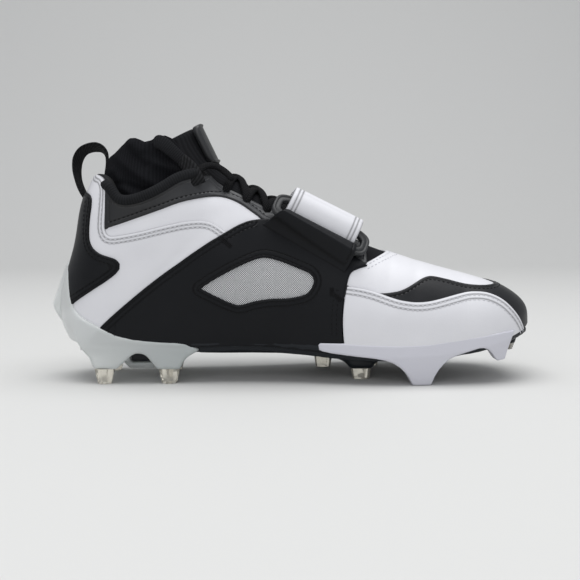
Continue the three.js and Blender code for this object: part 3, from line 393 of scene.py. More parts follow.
def inside_distance(points, outline):
    """Distance in mm from side view points to a closed outline, above 0 inside, and its direction."""
    a, b = outline, np.roll(outline, -1, axis=0)
    edge = b - a
    best = np.full(len(points), np.inf)
    towards = np.zeros_like(points)
    inside = np.zeros(len(points), bool)
    for start, end, line in zip(a, b, edge):
        t = np.clip(((points - start) @ line) / max(line @ line, 1e-9), 0, 1)
        off = points - (start + t[:, None] * line)
        far = np.hypot(off[:, 0], off[:, 1])
        closer = far < best
        best[closer], towards[closer] = far[closer], off[closer]
        crosses = (start[1] > points[:, 1]) != (end[1] > points[:, 1])
        at = start[0] + (points[:, 1] - start[1]) * line[0] / (line[1] if line[1] else 1e-9)
        inside ^= crosses & (points[:, 0] < at)
    return np.where(inside, best, -best), towards / np.maximum(best, 1e-9)[:, None]


def split(places, triangles, values, level):
    """Cuts triangles where values pass the level, so that none of them lies across it."""
    values = np.where(np.abs(values - level) < 1e-5, level + 1e-5, values)
    above = values[triangles] > level
    count = above.sum(1)
    whole = triangles[(count == 0) | (count == 3)]
    mixed, flags = triangles[(count == 1) | (count == 2)], above[(count == 1) | (count == 2)]
    if not len(mixed):
        return places, triangles, values
    lone = np.where((flags.sum(1) == 1)[:, None], flags, ~flags).argmax(1)
    rows = np.arange(len(mixed))
    a, b, c = (mixed[rows, (lone + k) % 3] for k in range(3))
    pairs = np.sort(np.vstack([np.stack([a, b], 1), np.stack([a, c], 1)]), axis=1)
    unique, back = np.unique(pairs, axis=0, return_inverse=True)
    back = back.reshape(-1)
    low, high = values[unique[:, 0]], values[unique[:, 1]]
    t = ((level - low) / (high - low))[:, None]
    fresh = places[unique[:, 0]] * (1 - t) + places[unique[:, 1]] * t
    ab, ac = back[:len(mixed)] + len(places), back[len(mixed):] + len(places)
    triangles = np.vstack([
        whole, np.stack([a, ab, ac], 1), np.stack([ab, b, c], 1), np.stack([ab, c, ac], 1),
    ])
    return np.vstack([places, fresh]), triangles, np.append(values, np.full(len(fresh), level))


# Distances in mm from a panel's outline at which its triangles are cut, to round its rim.
EDGE_LEVELS = (-0.2, 0.0, 0.35, 0.9)


def skin_relief(side, x, z):
    """Soft rises and hollows in mm of the worn leather, from bells placed in the side view."""
    height = np.zeros_like(x)
    for at_side, mx, mz, length, width, turn, rise in SKIN_FORMS:
        c, s = math.cos(math.radians(turn)), math.sin(math.radians(turn))
        along, over = (x - mx) * c + (z - mz) * s, (z - mz) * c - (x - mx) * s
        bell = np.exp(-((along / length) ** 2) - (over / width) ** 2)
        height = height + np.where((at_side == 0) | (side == at_side), rise * bell, 0.0)
    return height


# side (0 is both), x, z, half length, half width, turn in degrees, rise, in mm
SKIN_FORMS = [
    (0, 50, 88, 26, 9, 20, 0.9),
    (0, 92, 108, 24, 6, 8, 0.7),
    (0, 60, 66, 30, 3.2, 45, -0.5),
    (0, 222, 44, 40, 9, 0, 0.8),
    (0, 200, 66, 3.0, 16, -12, -0.35),
    (0, 216, 62, 3.5, 18, -16, -0.3),
    (0, 150, 40, 4.0, 14, 8, -0.35),
    (0, 118, 44, 6.0, 16, -10, 0.35),
    (0, 265, 52, 14, 9, -10, 0.5),
    (0, 296, 40, 22, 40, 0, -3.0),
    (0, 0, 22, 12, 10, 0, -6.0),
    (0, 2, 86, 15, 24, 0, -4.2),
]


def skin_points(places, offset):
    """Frame points of (side, u, angle) rows: the last plus its relief, moved out by an offset."""
    side, u, angle = places.T
    base = last_point(side, u, angle)
    out = last_normal(side, u, angle)
    both = (np.asarray(offset) + skin_relief(side, base[:, 0], base[:, 2]))[:, None]
    return to_frame(base + out * both)


def skin_grid(side, spacing):
    """Rows of (side, u, angle) over one side of the last, and their triangles. Up a rib the angle is
    90 * t**k / (t**k + (1 - t)**k) with k half the rib's fullness, which spaces its points evenly."""
    arcs = [(0, 52), (1, TOE_PIVOT - HEEL_PIVOT), (2, 76)]
    u = np.concatenate([np.arange(n := int(length / spacing)) / n + first for first, length in arcs])
    u = np.append(u, 3.0)
    full = section(FULLNESS, HEEL_PIVOT + (TOE_PIVOT - HEEL_PIVOT) * np.clip(u - 1, 0, 1))
    full = full + (TOE_TIP_FULLNESS - full) * np.clip(u - 2, 0, 1)
    t = np.linspace(0, 1, int(125 / spacing))[:, None]
    k = full / 2
    angle = 90 * t**k / (t**k + (1 - t) ** k)
    u = np.broadcast_to(u, angle.shape)
    quads = grid_faces(*angle.shape)
    if side > 0:
        quads = quads[:, ::-1]
    triangles = np.vstack([quads[:, [0, 1, 2]], quads[:, [0, 2, 3]]])
    return np.stack([np.full(u.size, float(side)), u.ravel(), angle.ravel()], 1), triangles


def merged(points, triangles, *more):
    """Joins points that lie within a hundredth of a millimetre, and drops triangles of no area."""
    _, first, back = np.unique(np.round(points / (0.01 * MM) + 0.0371).astype(np.int64), axis=0,
                               return_index=True, return_inverse=True)
    triangles = back.reshape(-1)[triangles]
    flat = ((triangles[:, 0] == triangles[:, 1]) | (triangles[:, 1] == triangles[:, 2])
            | (triangles[:, 0] == triangles[:, 2]))
    return (points[first], triangles[~flat], *(values[first] for values in more))


def panel(name, outlines, holes=(), sides=(-1, 1), thickness=1.3, base=0.0, spacing=1.3,
          edge=0.9, back=-0.4, sewn=()):
    """A leather panel on the last: triangles of the skin grid, cut to closed side view outlines.
    Its edge rounds down as a quarter of an ellipse, and a back closes it under the skin. The
    attribute edge holds the distance in mm to the panel's outline, or to its sewn line alone."""
    all_points, all_triangles, all_edges, count = [], [], [], 0
    for side in sides:
        places, triangles = skin_grid(side, spacing)

        def distances(rows):
            at = last_point(*rows.T)
            flat = at[:, [0, 2]]
            value, way = np.full(len(rows), -1e9), np.zeros((len(rows), 2))
            for outline in outlines:
                far, direction = inside_distance(flat, outline)
                better = far > value
                value = np.where(better, far, value)
                way = np.where(better[:, None], direction, way)
            for hole in holes(side) if callable(holes) else holes:
                far, direction = inside_distance(flat, hole)
                nearer = -far < value
                value = np.where(nearer, -far, value)
                way = np.where(nearer[:, None], direction, way)
            out = last_normal(*rows.T)
            tilt = way[:, 0] * out[:, 0] + way[:, 1] * out[:, 2]
            above_foot = at[:, 2] - last_point(rows[:, 0], rows[:, 1], 0.0)[:, 2] - 0.6
            return np.minimum(value / np.sqrt(np.clip(1 - tilt**2, 0.12, 1)), above_foot)

        values = distances(places)
        triangles = triangles[(values[triangles] > -4 * spacing).any(1)]
        for level in EDGE_LEVELS:
            places, triangles, values = split(places, triangles, values, level)
        triangles = triangles[(values[triangles].mean(1) > EDGE_LEVELS[0])
                              & (values[triangles].max(1) > -1e-6)]
        used, back_index = np.unique(triangles, return_inverse=True)
        places, values = places[used], values[used]
        triangles = back_index.reshape(-1, 3)
        t = np.clip(values / edge, 0, 1)
        height = base + thickness * (0.45 + 0.55 * np.sqrt(1 - (1 - t) ** 2))
        height = np.where(values < 0, back, height)
        all_points.append(skin_points(places, height))
        under = skin_points(places, np.where(values < 0, back, base + back - 0.05))
        all_points.append(under)
        all_triangles += [triangles + count, triangles[:, ::-1] + count + len(places)]
        if sewn:
            flat, out = last_point(*places.T)[:, [0, 2]], last_normal(*places.T)[:, [0, 2]]
            values = np.full(len(flat), 1e3)
            for line in sewn:
                far, way = inside_distance(flat, np.vstack([line, line[::-1]]))
                tilt = (way * out).sum(1)
                values = np.minimum(values, np.abs(far) / np.sqrt(np.clip(1 - tilt**2, 0.12, 1)))
        all_edges += [values, values]
        count += 2 * len(places)
    points, triangles, edges = merged(np.vstack(all_points), np.vstack(all_triangles),
                                      np.concatenate(all_edges))
    made = mesh_object(name, points, triangles)
    point_values(made, "edge", edges)
    return made


def dress(piece, finish, slot, *nodes):
    """Gives a piece its finish, hangs it on the root body and hides the nodes that it stands for. The
    slot is not used.
    """
    piece.data.materials.append(finish.material)
    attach(piece, "root")
    if nodes:
        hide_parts(*nodes)
    return piece


def leather(name, color, roughness, worn, pebble=0.0007, gloss=0.3, rows=()):
    """Grained leather: a pebble pattern and soft wrinkles by bump, an edge that is a little darker,
    and sunk rows at these distances in mm from the panel's outline, where its thread pulls it in.
    Along the rows the colour is darkened too, as painted shade in their grooves."""
    finish = Finish(name, Roughness=roughness, Specular_IOR_Level=gloss)
    edge = finish.attribute("edge")
    mottle = finish.noise(55, 3)
    cut = 1 - (edge / 0.7).clamped()
    tone = finish.mix(mottle * 0.6, (*color, 1), (*worn, 1))
    shade = (*(c * 0.3 for c in color), 1)
    # Painted shade: each stitch row also darkens the base colour, as shade in its groove.
    for row in rows:
        cut = cut + edge.ridge(row, 0.55) * 1.1
    finish.set("Base Color", finish.mix((cut * 0.75).clamped(), tone, shade))
    finish.set("Roughness", mottle * 0.12 + (roughness - 0.06))
    grain = finish.pebbles(1 / pebble)
    heights = [(finish.noise(140, 3), 0.25, 0.0004), (grain, 0.35, 0.00007)]
    for row in rows:
        heights.append((edge.ridge(row, 0.42) * -1, 0.5, 0.0005))
    finish.bump(*heights)
    return finish


COLLAR_LINE = smooth_line([
    (-30, 129), (17.5, 128.6), (27.7, 126.6), (34.0, 118.5), (38.6, 114.4), (46.0, 114.8),
    (55.5, 117.8), (64.2, 122.4), (74.5, 128.2), (87.6, 130.0), (101, 129.9), (130, 129.9),
])
FAR = 400.0


def below_line(line):
    return np.vstack([line, [(line[-1][0], -FAR), (line[0][0], -FAR)]])


def above_line(line):
    return np.vstack([line, [(line[-1][0], FAR), (line[0][0], FAR)]])


THROAT_REAR, THROAT_FRONT = 0.25 * LAST_LENGTH, 0.665 * LAST_LENGTH
THROAT_REAR_HALF, THROAT_FRONT_HALF = 19.0, 11.0


def throat_line(side, grow=0.0):
    """The throat's edge in the side view: where the last is a given distance from its ridge."""
    x = np.linspace(THROAT_REAR - 12, THROAT_FRONT, 40)
    share = np.clip((x - THROAT_REAR) / (THROAT_FRONT - THROAT_REAR), 0, 1)
    across = THROAT_REAR_HALF + (THROAT_FRONT_HALF - THROAT_REAR_HALF) * share + grow
    u = 1 + (x - HEEL_PIVOT) / (TOE_PIVOT - HEEL_PIVOT)
    low, high = np.zeros_like(x), np.full_like(x, 90.0)
    for _ in range(30):
        middle = (low + high) / 2
        past = np.abs(last_point(side, u, middle)[:, 1] + section(RIDGE, x) * BALL_WIDTH) > across
        low, high = np.where(past, middle, low), np.where(past, high, middle)
    return last_point(side, u, high)[:, [0, 2]]


LINING = leather("lining", (0.012, 0.012, 0.013), 0.85, (0.02, 0.02, 0.021), pebble=0.0011)
upper_zone = below_line(COLLAR_LINE)


def throat_zone(side, grow=0.0):
    """The throat's whole opening as a closed outline, open upwards."""
    line = throat_line(side, grow)
    first, (last_x, last_z) = line[0][0], line[-1]
    return np.vstack([line, [(last_x + 6, last_z + 8), (last_x, FAR), (first, FAR)]])


WALL = 2.2
shell = panel("upper_shell", [upper_zone], lambda side: [throat_zone(side)], thickness=WALL,
              base=-WALL, edge=0.8, back=-WALL, spacing=1.5)
dress(shell, LINING, "black_leather", "upper")

# Quarter and heel finger. White smooth leather: a thin band under the eyestay, and over it the
# quarter, whose top edge carries two rows of stitches and runs up the heel as a finger that ends
# under the pull loop. 0.6 mm band, 1.2 mm quarter.
WHITE, WHITE_WORN = (0.74, 0.74, 0.765), (0.64, 0.64, 0.675)
BAND = leather("band_leather", WHITE, 0.42, WHITE_WORN, gloss=0.3)
QUARTER = leather("quarter_leather", WHITE, 0.42, WHITE_WORN, gloss=0.3, rows=(2.3, 4.4))
EYESTAY_LINE = smooth_line([
    (28.4, 90), (29.3, 94.4), (31.1, 95.2), (37.4, 97.3), (49.5, 101.5), (61.5, 105.8), (73.5, 110.2),
    (85.5, 112.8), (94.5, 113.4), (101.5, 112.2), (109.6, 108.7), (118.8, 102.6), (125, 98.2),
    (140, 91.1), (163, 79.1), (187, 71.7),
])
QUARTER_LINE = smooth_line([
    (13.0, 150), (15.5, 135), (18.5, 127.5), (23.0, 126.9), (27.0, 124.2), (29.2, 118.0),
    (29.2, 108.6), (28.6, 99.5), (28.8, 93.8), (31.5, 90.3), (39.0, 90.9), (49.5, 92.9),
    (58.5, 95.1), (67.5, 97.2), (76.5, 98.9), (85.5, 99.4), (93.0, 97.7), (100.5, 92.9), (112, 84),
])
MIDFOOT_REAR_LINE = smooth_line([
    (11, 14), (18.5, 25.5), (25.1, 34.4), (31.2, 40.6), (37.6, 46.3), (46.5, 53.9), (55.7, 61.4),
    (64.7, 68.2), (73.7, 74.5), (79.8, 78.9), (85.7, 82.9), (91.8, 86.8), (97.6, 90.1),
    (106.6, 95.2), (111.3, 97.3), (115.7, 98.6), (123.1, 99.3), (131.1, 98.6),
])
quarter_outline = np.vstack([QUARTER_LINE, MIDFOOT_REAR_LINE[::-1][12:] + (7, -5),
                             [(11, -FAR), (-60, -FAR), (-60, 150)]])
collar_cut = above_line(COLLAR_LINE)
band_outline = np.vstack([EYESTAY_LINE[:-16] + (0, 3), [(126, 90), (104, 84), (30, 78), (15, 86)]])
band = panel("quarter_band", [band_outline], [collar_cut], thickness=0.55, base=0.1, edge=0.6)
dress(band, BAND, "white_leather")
quarter = panel("quarter", [quarter_outline], [collar_cut], thickness=1.15, base=0.3,
                sewn=[QUARTER_LINE[24:]])
dress(quarter, QUARTER, "white_leather")

# Vamp. White smooth leather over the toes, lasted in under the sole. Its rear edge curves back up
# to the throat over a patch of black knit, and two short rows of stitches hold its corner.
VAMP = leather("vamp_leather", WHITE, 0.4, WHITE_WORN, gloss=0.35)
VAMP_REAR_LINE = smooth_line([
    (165, 10), (169, 50), (172.4, 62.5), (175.2, 66.6), (178.6, 69.4), (183.6, 71.9), (190.3, 74.8),
    (197.1, 77.6), (203.5, 79.6), (209, 80.6), (216, 86),
])
WAVE_LINE = smooth_line([
    (170, 62), (181, 57.5), (192.2, 55.4), (202.7, 56.0), (208.9, 57.7), (215.4, 61.0), (220.5, 63.3),
    (226.1, 64.1), (235.7, 62.1), (245.9, 59.5), (256.2, 58.2), (264.0, 58.2), (269.5, 59.2),
    (274.5, 61.5), (279, 66),
])
vamp_outline = np.vstack([VAMP_REAR_LINE, [(FAR, 86), (FAR, -FAR), (165, -FAR)]])
vamp = panel("vamp", [vamp_outline], [below_line(WAVE_LINE - (0, 9))], thickness=1.1, base=0.2)
dress(vamp, VAMP, "white_leather")

# Eyestay and collar panel. Black leather from the heel finger round the ankle and down the laces,
# with a folded lower edge that a row of stitches holds 3 mm in. Towards the front its colour turns
# grey as a painted highlight, where the overhead light falls on it.
BLACK, BLACK_WORN = (0.0062, 0.0068, 0.0082), (0.0095, 0.0102, 0.012)
EYESTAY = leather("eyestay_leather", (0.0085, 0.009, 0.010), 0.36, (0.012, 0.0125, 0.014),
                  rows=(2.9,), pebble=0.0006, gloss=0.4)
# Painted highlight: the base colour turns from black to grey towards the front, where the overhead
# light falls, and stays black on the folded edge.
STAY_HIGHLIGHT_FROM, STAY_HIGHLIGHT_OVER, STAY_PAINTED_HIGHLIGHT_GREY = -85 * MM, 35 * MM, (0.038, 0.039, 0.042, 1)
stay_black = Link(EYESTAY, None, EYESTAY.shader.inputs["Base Color"].links[0].from_socket)
stay_highlight_share = ((EYESTAY.along_x() - STAY_HIGHLIGHT_FROM) / STAY_HIGHLIGHT_OVER).clamped()
stay_highlight_share = stay_highlight_share * (EYESTAY.attribute("edge") / 1.4).clamped()
EYESTAY.set("Base Color", EYESTAY.mix(stay_highlight_share, stay_black, STAY_PAINTED_HIGHLIGHT_GREY))
for side, word in ((-1, "medial"), (1, "lateral")):
    outline = np.vstack([EYESTAY_LINE, [(188, FAR), (28.4, FAR)]])
    cuts = [above_line(COLLAR_LINE - (0, 3.5)), throat_zone(side, 0.3)]
    stay = panel(f"eyestay_leather_{word}", [outline], cuts, sides=[side], thickness=1.3, base=0.35)
    dress(stay, EYESTAY, "black_leather", f"eyestay_{word}")

# Midfoot panel. Black leather wrapped from the sole up to the strap's anchor, with a window for the
# mesh. Its rear edge is folded and stitched twice, and two columns of stitches run down in front.
MIDFOOT = leather("midfoot_leather", BLACK, 0.42, BLACK_WORN, rows=(1.7, 4.3), gloss=0.13)
MIDFOOT_FRONT_LINE = smooth_line([
    (187, 71), (181.5, 69.6), (177.4, 67.9), (175.6, 65.4), (174.2, 61), (172.6, 54.5), (171.6, 47),
    (171.2, 40), (171.5, 31.5), (172.4, 24), (174, 12),
], 6)
WINDOW_LINE = smooth_line([
    (86.0, 58.6), (94.7, 64.2), (106.7, 70.6), (117.5, 75.3), (124.7, 76.7), (133.7, 74.6),
    (145.6, 69.9), (151.8, 67.0), (154.2, 63.2), (152.9, 58.9), (149.2, 55.0), (139.6, 52.8),
    (129, 52.4), (119.5, 51.2), (109.7, 48.7), (103.0, 50.4), (94.7, 54.2), (86.0, 58.6),
], 6)[:-1]
midfoot_outline = np.vstack([
    MIDFOOT_REAR_LINE, [(150, 92), (176, 79)], MIDFOOT_FRONT_LINE, [(174, -FAR), (11, -FAR)],
])
for side, word in ((-1, "medial"), (1, "lateral")):
    piece = panel(f"midfoot_leather_{word}", [midfoot_outline], [WINDOW_LINE], sides=[side],
                  thickness=1.35, base=1.25, edge=1.1, spacing=1.0,
                  sewn=[np.vstack([WINDOW_LINE, WINDOW_LINE[:1]]), MIDFOOT_REAR_LINE[:-16]])
    dress(piece, MIDFOOT, "black_leather", f"midfoot_panel_{word}")

# Window mesh. An open diagonal weave of pale threads over a grey backing, seen through the panel's
# window and sunk 1 mm under its leather. The threads are 0.9 mm apart, at 45 degrees both ways.
MESH_PITCH = 0.00092
mesh_cloth = Finish("mesh_cloth", Roughness=0.75)
mesh_place = mesh_cloth.node("ShaderNodeSeparateXYZ", {}, [mesh_cloth.place()])
mesh_x, mesh_z = mesh_place.output("X"), mesh_place.output("Z")


def weave_wave(along, pitch):
    """0 to 1 and back as a cosine over each pitch of the coordinate."""
    return along.math("COSINE", along * (2 * math.pi / pitch)) * 0.5 + 0.5


rising = weave_wave(mesh_x + mesh_z, MESH_PITCH * 1.414)
falling = weave_wave(mesh_x - mesh_z, MESH_PITCH * 1.414)
threads = (rising * falling) ** 0.7
mesh_cloth.set("Base Color", mesh_cloth.mix((threads * 1.5).clamped(), (0.11, 0.115, 0.12, 1),
                                            (0.82, 0.82, 0.83, 1)))
mesh_cloth.bump((threads, 0.8, 0.0003))
mesh_outline = WINDOW_LINE + (WINDOW_LINE - WINDOW_LINE.mean(0)) * 0.06
for side, word in ((-1, "medial"), (1, "lateral")):
    cloth = panel(f"window_mesh_{word}", [mesh_outline], sides=[side], thickness=0.5, base=0.75,
                  edge=0.5)
    dress(cloth, mesh_cloth, "grey_mesh", f"midfoot_mesh_{word}")

# Toe wave. Black leather from the middle of the forefoot over the toe to the sole, cut in a wave on
# top, where a row of stitches follows it. The mudguard covers its lower edge.
TOE_WAVE = leather("wave_leather", (0.014, 0.0144, 0.016), 0.4, (0.021, 0.0215, 0.024), rows=(2.2,),
                   gloss=0.2)
MUDGUARD_LINE = smooth_line([
    (160, 63), (168, 60.8), (174.7, 59.6), (181.3, 58.6), (186.8, 57.3), (192.2, 55.7), (199.5, 53.1),
    (205.7, 51.2), (214.9, 49.9), (224.2, 50.4), (237.0, 53.0), (244, 54.3), (250.2, 54.8),
    (257.4, 54.3), (264.0, 52.4), (270, 49.4), (275, 45.6), (279.3, 41.4), (282.4, 37.2),
    (284.6, 33.0), (285.8, 28.6), (286.4, 24), (286.5, 18), (286.5, 8),
])
wave_outline = np.vstack([WAVE_LINE, [(FAR, 66), (FAR, -FAR), (170, -FAR)]])
wave = panel("wave_overlay", [wave_outline], [below_line(MUDGUARD_LINE - (2, 6))], thickness=1.0,
             base=1.25, spacing=1.5, sewn=[WAVE_LINE])
dress(wave, TOE_WAVE, "black_leather", "toe_wave")

# Mudguard. Thick white leather round the front of the shoe above the sole, from the midfoot panel on
# both sides to the toe tip, with two rows of stitches under its top edge. 1.7 mm thick.
MUDGUARD = leather("mudguard_leather", WHITE, 0.42, WHITE_WORN, gloss=0.3, rows=(2.2, 4.6))
mudguard_outline = np.vstack([MUDGUARD_LINE, [(286.5, -FAR), (160, -FAR)]])
behind_front = np.vstack([MIDFOOT_FRONT_LINE[6:] + (0.5, 0), [(100, -FAR), (100, 68)]])
mudguard = panel("mudguard", [mudguard_outline], [behind_front], thickness=1.5, base=1.5, edge=1.3,
                 spacing=1.1, sewn=[MUDGUARD_LINE[14:]])
dress(mudguard, MUDGUARD, "white_leather", "mudguard_medial", "mudguard_lateral")

# Heel counter. Black leather over the back of the heel, pointed forwards on both sides and stitched
# twice along its edge. Its top runs up between the white fingers to the pull loop.
COUNTER = leather("counter_leather", BLACK, 0.42, BLACK_WORN, rows=(1.6, 4.0), gloss=0.14)
COUNTER_LINE = smooth_line([
    (6, 117.5), (15.0, 116.2), (19.2, 113.8), (20.2, 109.5), (19.0, 101), (18.3, 93), (18.9, 87.0),
    (21.5, 82.5), (26.1, 79.3), (31.5, 77.5), (35.1, 76.2), (37.6, 73.6), (37.5, 70.4), (35.0, 67.3),
    (29.6, 63.0), (23, 58.6), (17.5, 54.9), (10, 49.5), (3, 43.4), (-20, 34),
])
counter_outline = np.vstack([COUNTER_LINE, [(-60, 34), (-60, 117.5)]])
counter = panel("counter_overlay", [counter_outline], thickness=1.2, base=1.45, edge=1.1)
dress(counter, COUNTER, "black_leather", "heel_counter")

# Stitching. Waxed thread, 0.6 mm thick, in stitches 1.75 mm long and 2.8 mm apart, sewn in rows at
# set distances from the panels' edges. Each colour of thread is one piece of small spindles.
STITCH_PITCH, STITCH_LENGTH, STITCH_WIDTH = 2.8, 1.75, 0.62
ring_turn = np.arange(6) * math.pi / 3
SPINDLE = np.array([(-1, 0, 0)] + [
    (along, wide * math.cos(t), wide * math.sin(t))
    for along, wide in ((-0.72, 0.75), (0, 1.0), (0.72, 0.75)) for t in ring_turn
] + [(1, 0, 0)])
SPINDLE_FACES = (
    [(0, 1 + (k + 1) % 6, 1 + k) for k in range(6)]
    + [(1 + 6 * r + k, 1 + 6 * r + (k + 1) % 6, 7 + 6 * r + (k + 1) % 6)
       for r in range(2) for k in range(6)]
    + [(1 + 6 * r + k, 7 + 6 * r + (k + 1) % 6, 7 + 6 * r + k) for r in range(2) for k in range(6)]
    + [(13 + k, 13 + (k + 1) % 6, 19) for k in range(6)]
)


def side_offset(line, distance):
    """The line moved to its left by a distance, in the side view."""
    step = directions(line)
    return line + np.stack([-step[:, 1], step[:, 0]], 1) * distance


def stitch_row(side, line, height, pitch=STITCH_PITCH, length=STITCH_LENGTH, width=STITCH_WIDTH):
    """Points of one row: spindles along a side view line that is laid on the last at a height."""
    u, a = lift(side, line)
    run = distances_along(last_point(side, u, a))
    centre = np.arange(pitch, run[-1] - pitch / 2, pitch)

    def on_row(distance):
        rows = np.stack([np.full(len(distance), float(side)), np.interp(distance, run, u),
                         np.interp(distance, run, a)], 1)
        return skin_points(rows, height), last_normal(*rows.T)

    (middle, out), (ahead, _), (behind, _) = (on_row(centre + step) for step in (0, 0.5, -0.5))
    return spindles(middle, ahead - behind, out, length, width)


def spindles(middle, along, out, length=STITCH_LENGTH, width=STITCH_WIDTH):
    """Points of stitches at these middles in metres, along one direction and lying square to out."""
    along = along / np.linalg.norm(along, axis=1, keepdims=True)
    across = np.cross(out, along)
    across = across / np.linalg.norm(across, axis=1, keepdims=True)
    t, b, n = (SPINDLE[:, k][None, :, None] for k in range(3))
    return (middle[:, None] + (along[:, None] * t * length + across[:, None] * b * width
                               + out[:, None] * n * width * 0.8) * MM / 2).reshape(-1, 3)


def stitching(name, rows, finish, slot):
    points = np.vstack(rows)
    count = len(points) // len(SPINDLE)
    faces = np.array(SPINDLE_FACES)[None] + len(SPINDLE) * np.arange(count)[:, None, None]
    return dress(mesh_object(name, points, faces.reshape(-1, 3)), finish, slot)


def thread_finish(name, color):
    finish = Finish(name, Base_Color=(*color, 1), Roughness=0.7, Specular_IOR_Level=0.12)
    twist = finish.noise(2600, 2)
    finish.bump((twist, 0.5, 0.0001))
    return finish


WHITE_THREAD = thread_finish("white_thread", (0.60, 0.60, 0.63))
BLACK_THREAD = thread_finish("black_thread", (0.007, 0.0072, 0.008))
white_rows, black_rows = [], []
for side in (-1, 1):
    for far in (2.3, 4.4):
        white_rows.append(stitch_row(side, side_offset(QUARTER_LINE[40:-6], -far), 1.5))
    for far in (2.2, 4.6):
        row = side_offset(MUDGUARD_LINE[16:-12], -far)
        white_rows.append(stitch_row(side, row[row[:, 0] > 174.5], 3.05))
    for far in (1.5, 3.6):
        white_rows.append(stitch_row(side, side_offset(VAMP_REAR_LINE[40:72], -far), 1.35))
    for far in (1.6, 4.0):
        black_rows.append(stitch_row(side, side_offset(COUNTER_LINE[14:-8], -far), 2.7))
    for far in (1.7, 4.3):
        rear = side_offset(MIDFOOT_REAR_LINE[12:], -far)
        black_rows.append(stitch_row(side, rear[(rear[:, 0] < 122) & (rear[:, 1] > 36.5)], 2.65))
    for far in (3.4, 6.2):
        front = MIDFOOT_FRONT_LINE[18:50] + (-far, 0)
        black_rows.append(stitch_row(side, front[front[:, 1] < 57.5], 2.65))
    for far in (1.9, 4.6):
        round_window = np.vstack([WINDOW_LINE, WINDOW_LINE[:2]])
        black_rows.append(stitch_row(side, side_offset(round_window, far), 2.65))
    black_rows.append(stitch_row(side, side_offset(WAVE_LINE[8:-10], -2.2), 2.3))
    black_rows.append(stitch_row(side, side_offset(EYESTAY_LINE[12:96], 2.9), 1.7))
    black_rows.append(stitch_row(side, smooth_line([(165.5, 57.2), (170.5, 57.2)], 4), 2.7))
stitching("white_stitching", white_rows, WHITE_THREAD, "white_leather")
stitching("black_stitching", black_rows, BLACK_THREAD, "black_leather")

# Bar tacks. Short dense zigzags of black thread, 6 to 9 mm long, three on each side, that pin the
# corners of the midfoot panel.
tack_rows = []
for side in (-1, 1):
    for start, end in (((98.0, 88.6), (104.6, 83.0)), ((164.8, 55.8), (171.0, 51.4)),
                       ((165.0, 53.4), (165.0, 59.2))):
        tack = smooth_line([start, end], 10)
        for shift in (-0.9, 0, 0.9):
            tack_rows.append(stitch_row(side, side_offset(tack, shift), 2.75, 1.0, 1.3, 0.8))
stitching("bar_tacks", tack_rows, BLACK_THREAD, "black_leather")


# Sock. A slouching cuff of fine black rib knit, sewn in under the collar. It folds softly where it
# bunches, and its rim rises to a peak on each side of the tongue. 2 mm thick.
def knit(name, color=(0.0085, 0.0088, 0.0105), rib_pitch=0.0017, depth=0.0003,
         worn=(0.017, 0.0175, 0.02)):
    """Rib knit: ridges along the piece's own length, read from its attributes over and along in
    metres, broken into stitches, with a soft nap of paler fibre. Its colour falls to half in the
    hollows between ribs and stitches, as painted shade."""
    finish = Finish(name, Roughness=0.95, Specular_IOR_Level=0.08)
    over, along = finish.attribute("over"), finish.attribute("along")
    rib = weave_wave(over, rib_pitch)
    loop = weave_wave(along, rib_pitch * 0.8)
    knots = rib * (loop * 0.35 + 0.65)
    nap = finish.noise(90, 3)
    # Painted shade: half the colour in the hollows of the ribs and stitches.
    deep = finish.mix((knots * 1.2).clamped(), (*(c * 0.5 for c in color), 1), (*color, 1))
    finish.set("Base Color", finish.mix(nap * 0.5, deep, (*worn, 1)))
    finish.bump((finish.noise(60, 2), 0.2, 0.0006), (knots, 0.75, depth))
    return finish


def closed_strip(name, outer, inner, over, along, wrap=False):
    """A body between an outer and an inner grid of the same size, joined along the open edges."""
    rows, columns = outer.shape[:2]
    count = rows * columns
    quads = grid_faces(rows, columns, wrap)
    faces = [quads, quads[:, ::-1] + count]
    index = np.arange(count).reshape(rows, columns)
    edges = [(index[0], False), (index[-1], True)]
    if not wrap:
        edges += [(index[:, 0], True), (index[:, -1], False)]
    for line, turned in edges:
        following = np.roll(line, -1) if wrap else line[1:]
        line = line if wrap else line[:-1]
        side = np.stack([line, line + count, following + count, following], 1)
        faces.append(side[:, ::-1] if turned else side)
    points = np.vstack([outer.reshape(-1, 3), inner.reshape(-1, 3)])
    made = mesh_object(name, points, np.vstack(faces))
    for key, values in (("over", over), ("along", along)):
        point_values(made, key, np.tile(np.broadcast_to(values, (rows, columns)).ravel(), 2))
    outwards(made)
    return made


def outwards(piece):
    """Turns a closed mesh so that its faces point out."""
    work = bmesh.new()
    work.from_mesh(piece.data)
    bmesh.ops.remove_doubles(work, verts=work.verts, dist=1e-6)
    bmesh.ops.dissolve_degenerate(work, edges=work.edges, dist=1e-7)
    bmesh.ops.recalc_face_normals(work, faces=work.faces)
    if work.calc_volume(signed=True) < 0:
        bmesh.ops.reverse_faces(work, faces=work.faces)
    work.to_mesh(piece.data)
    work.free()


SOCK_MIDDLE, SOCK_HALF_LENGTH, SOCK_HALF_WIDTH = 53.0, 31.0, 24.5
SOCK_BOTTOM, SOCK_RADIUS, SOCK_TALL = 104.0, 27.0, 40.0
# x and height of the rim in the side view, in mm
SOCK_RIM = np.array([
    (20, 136.0), (25, 139.0), (29, 141.0), (31.8, 143.0), (37.3, 147.6), (41.0, 149.9), (45.2, 150.0),
    (48.3, 149.0), (51.5, 147.6), (54.5, 148.6), (58, 151.3), (63, 151.6), (68, 149.6), (75, 142.0),
    (84, 134.0), (92, 130.0),
])
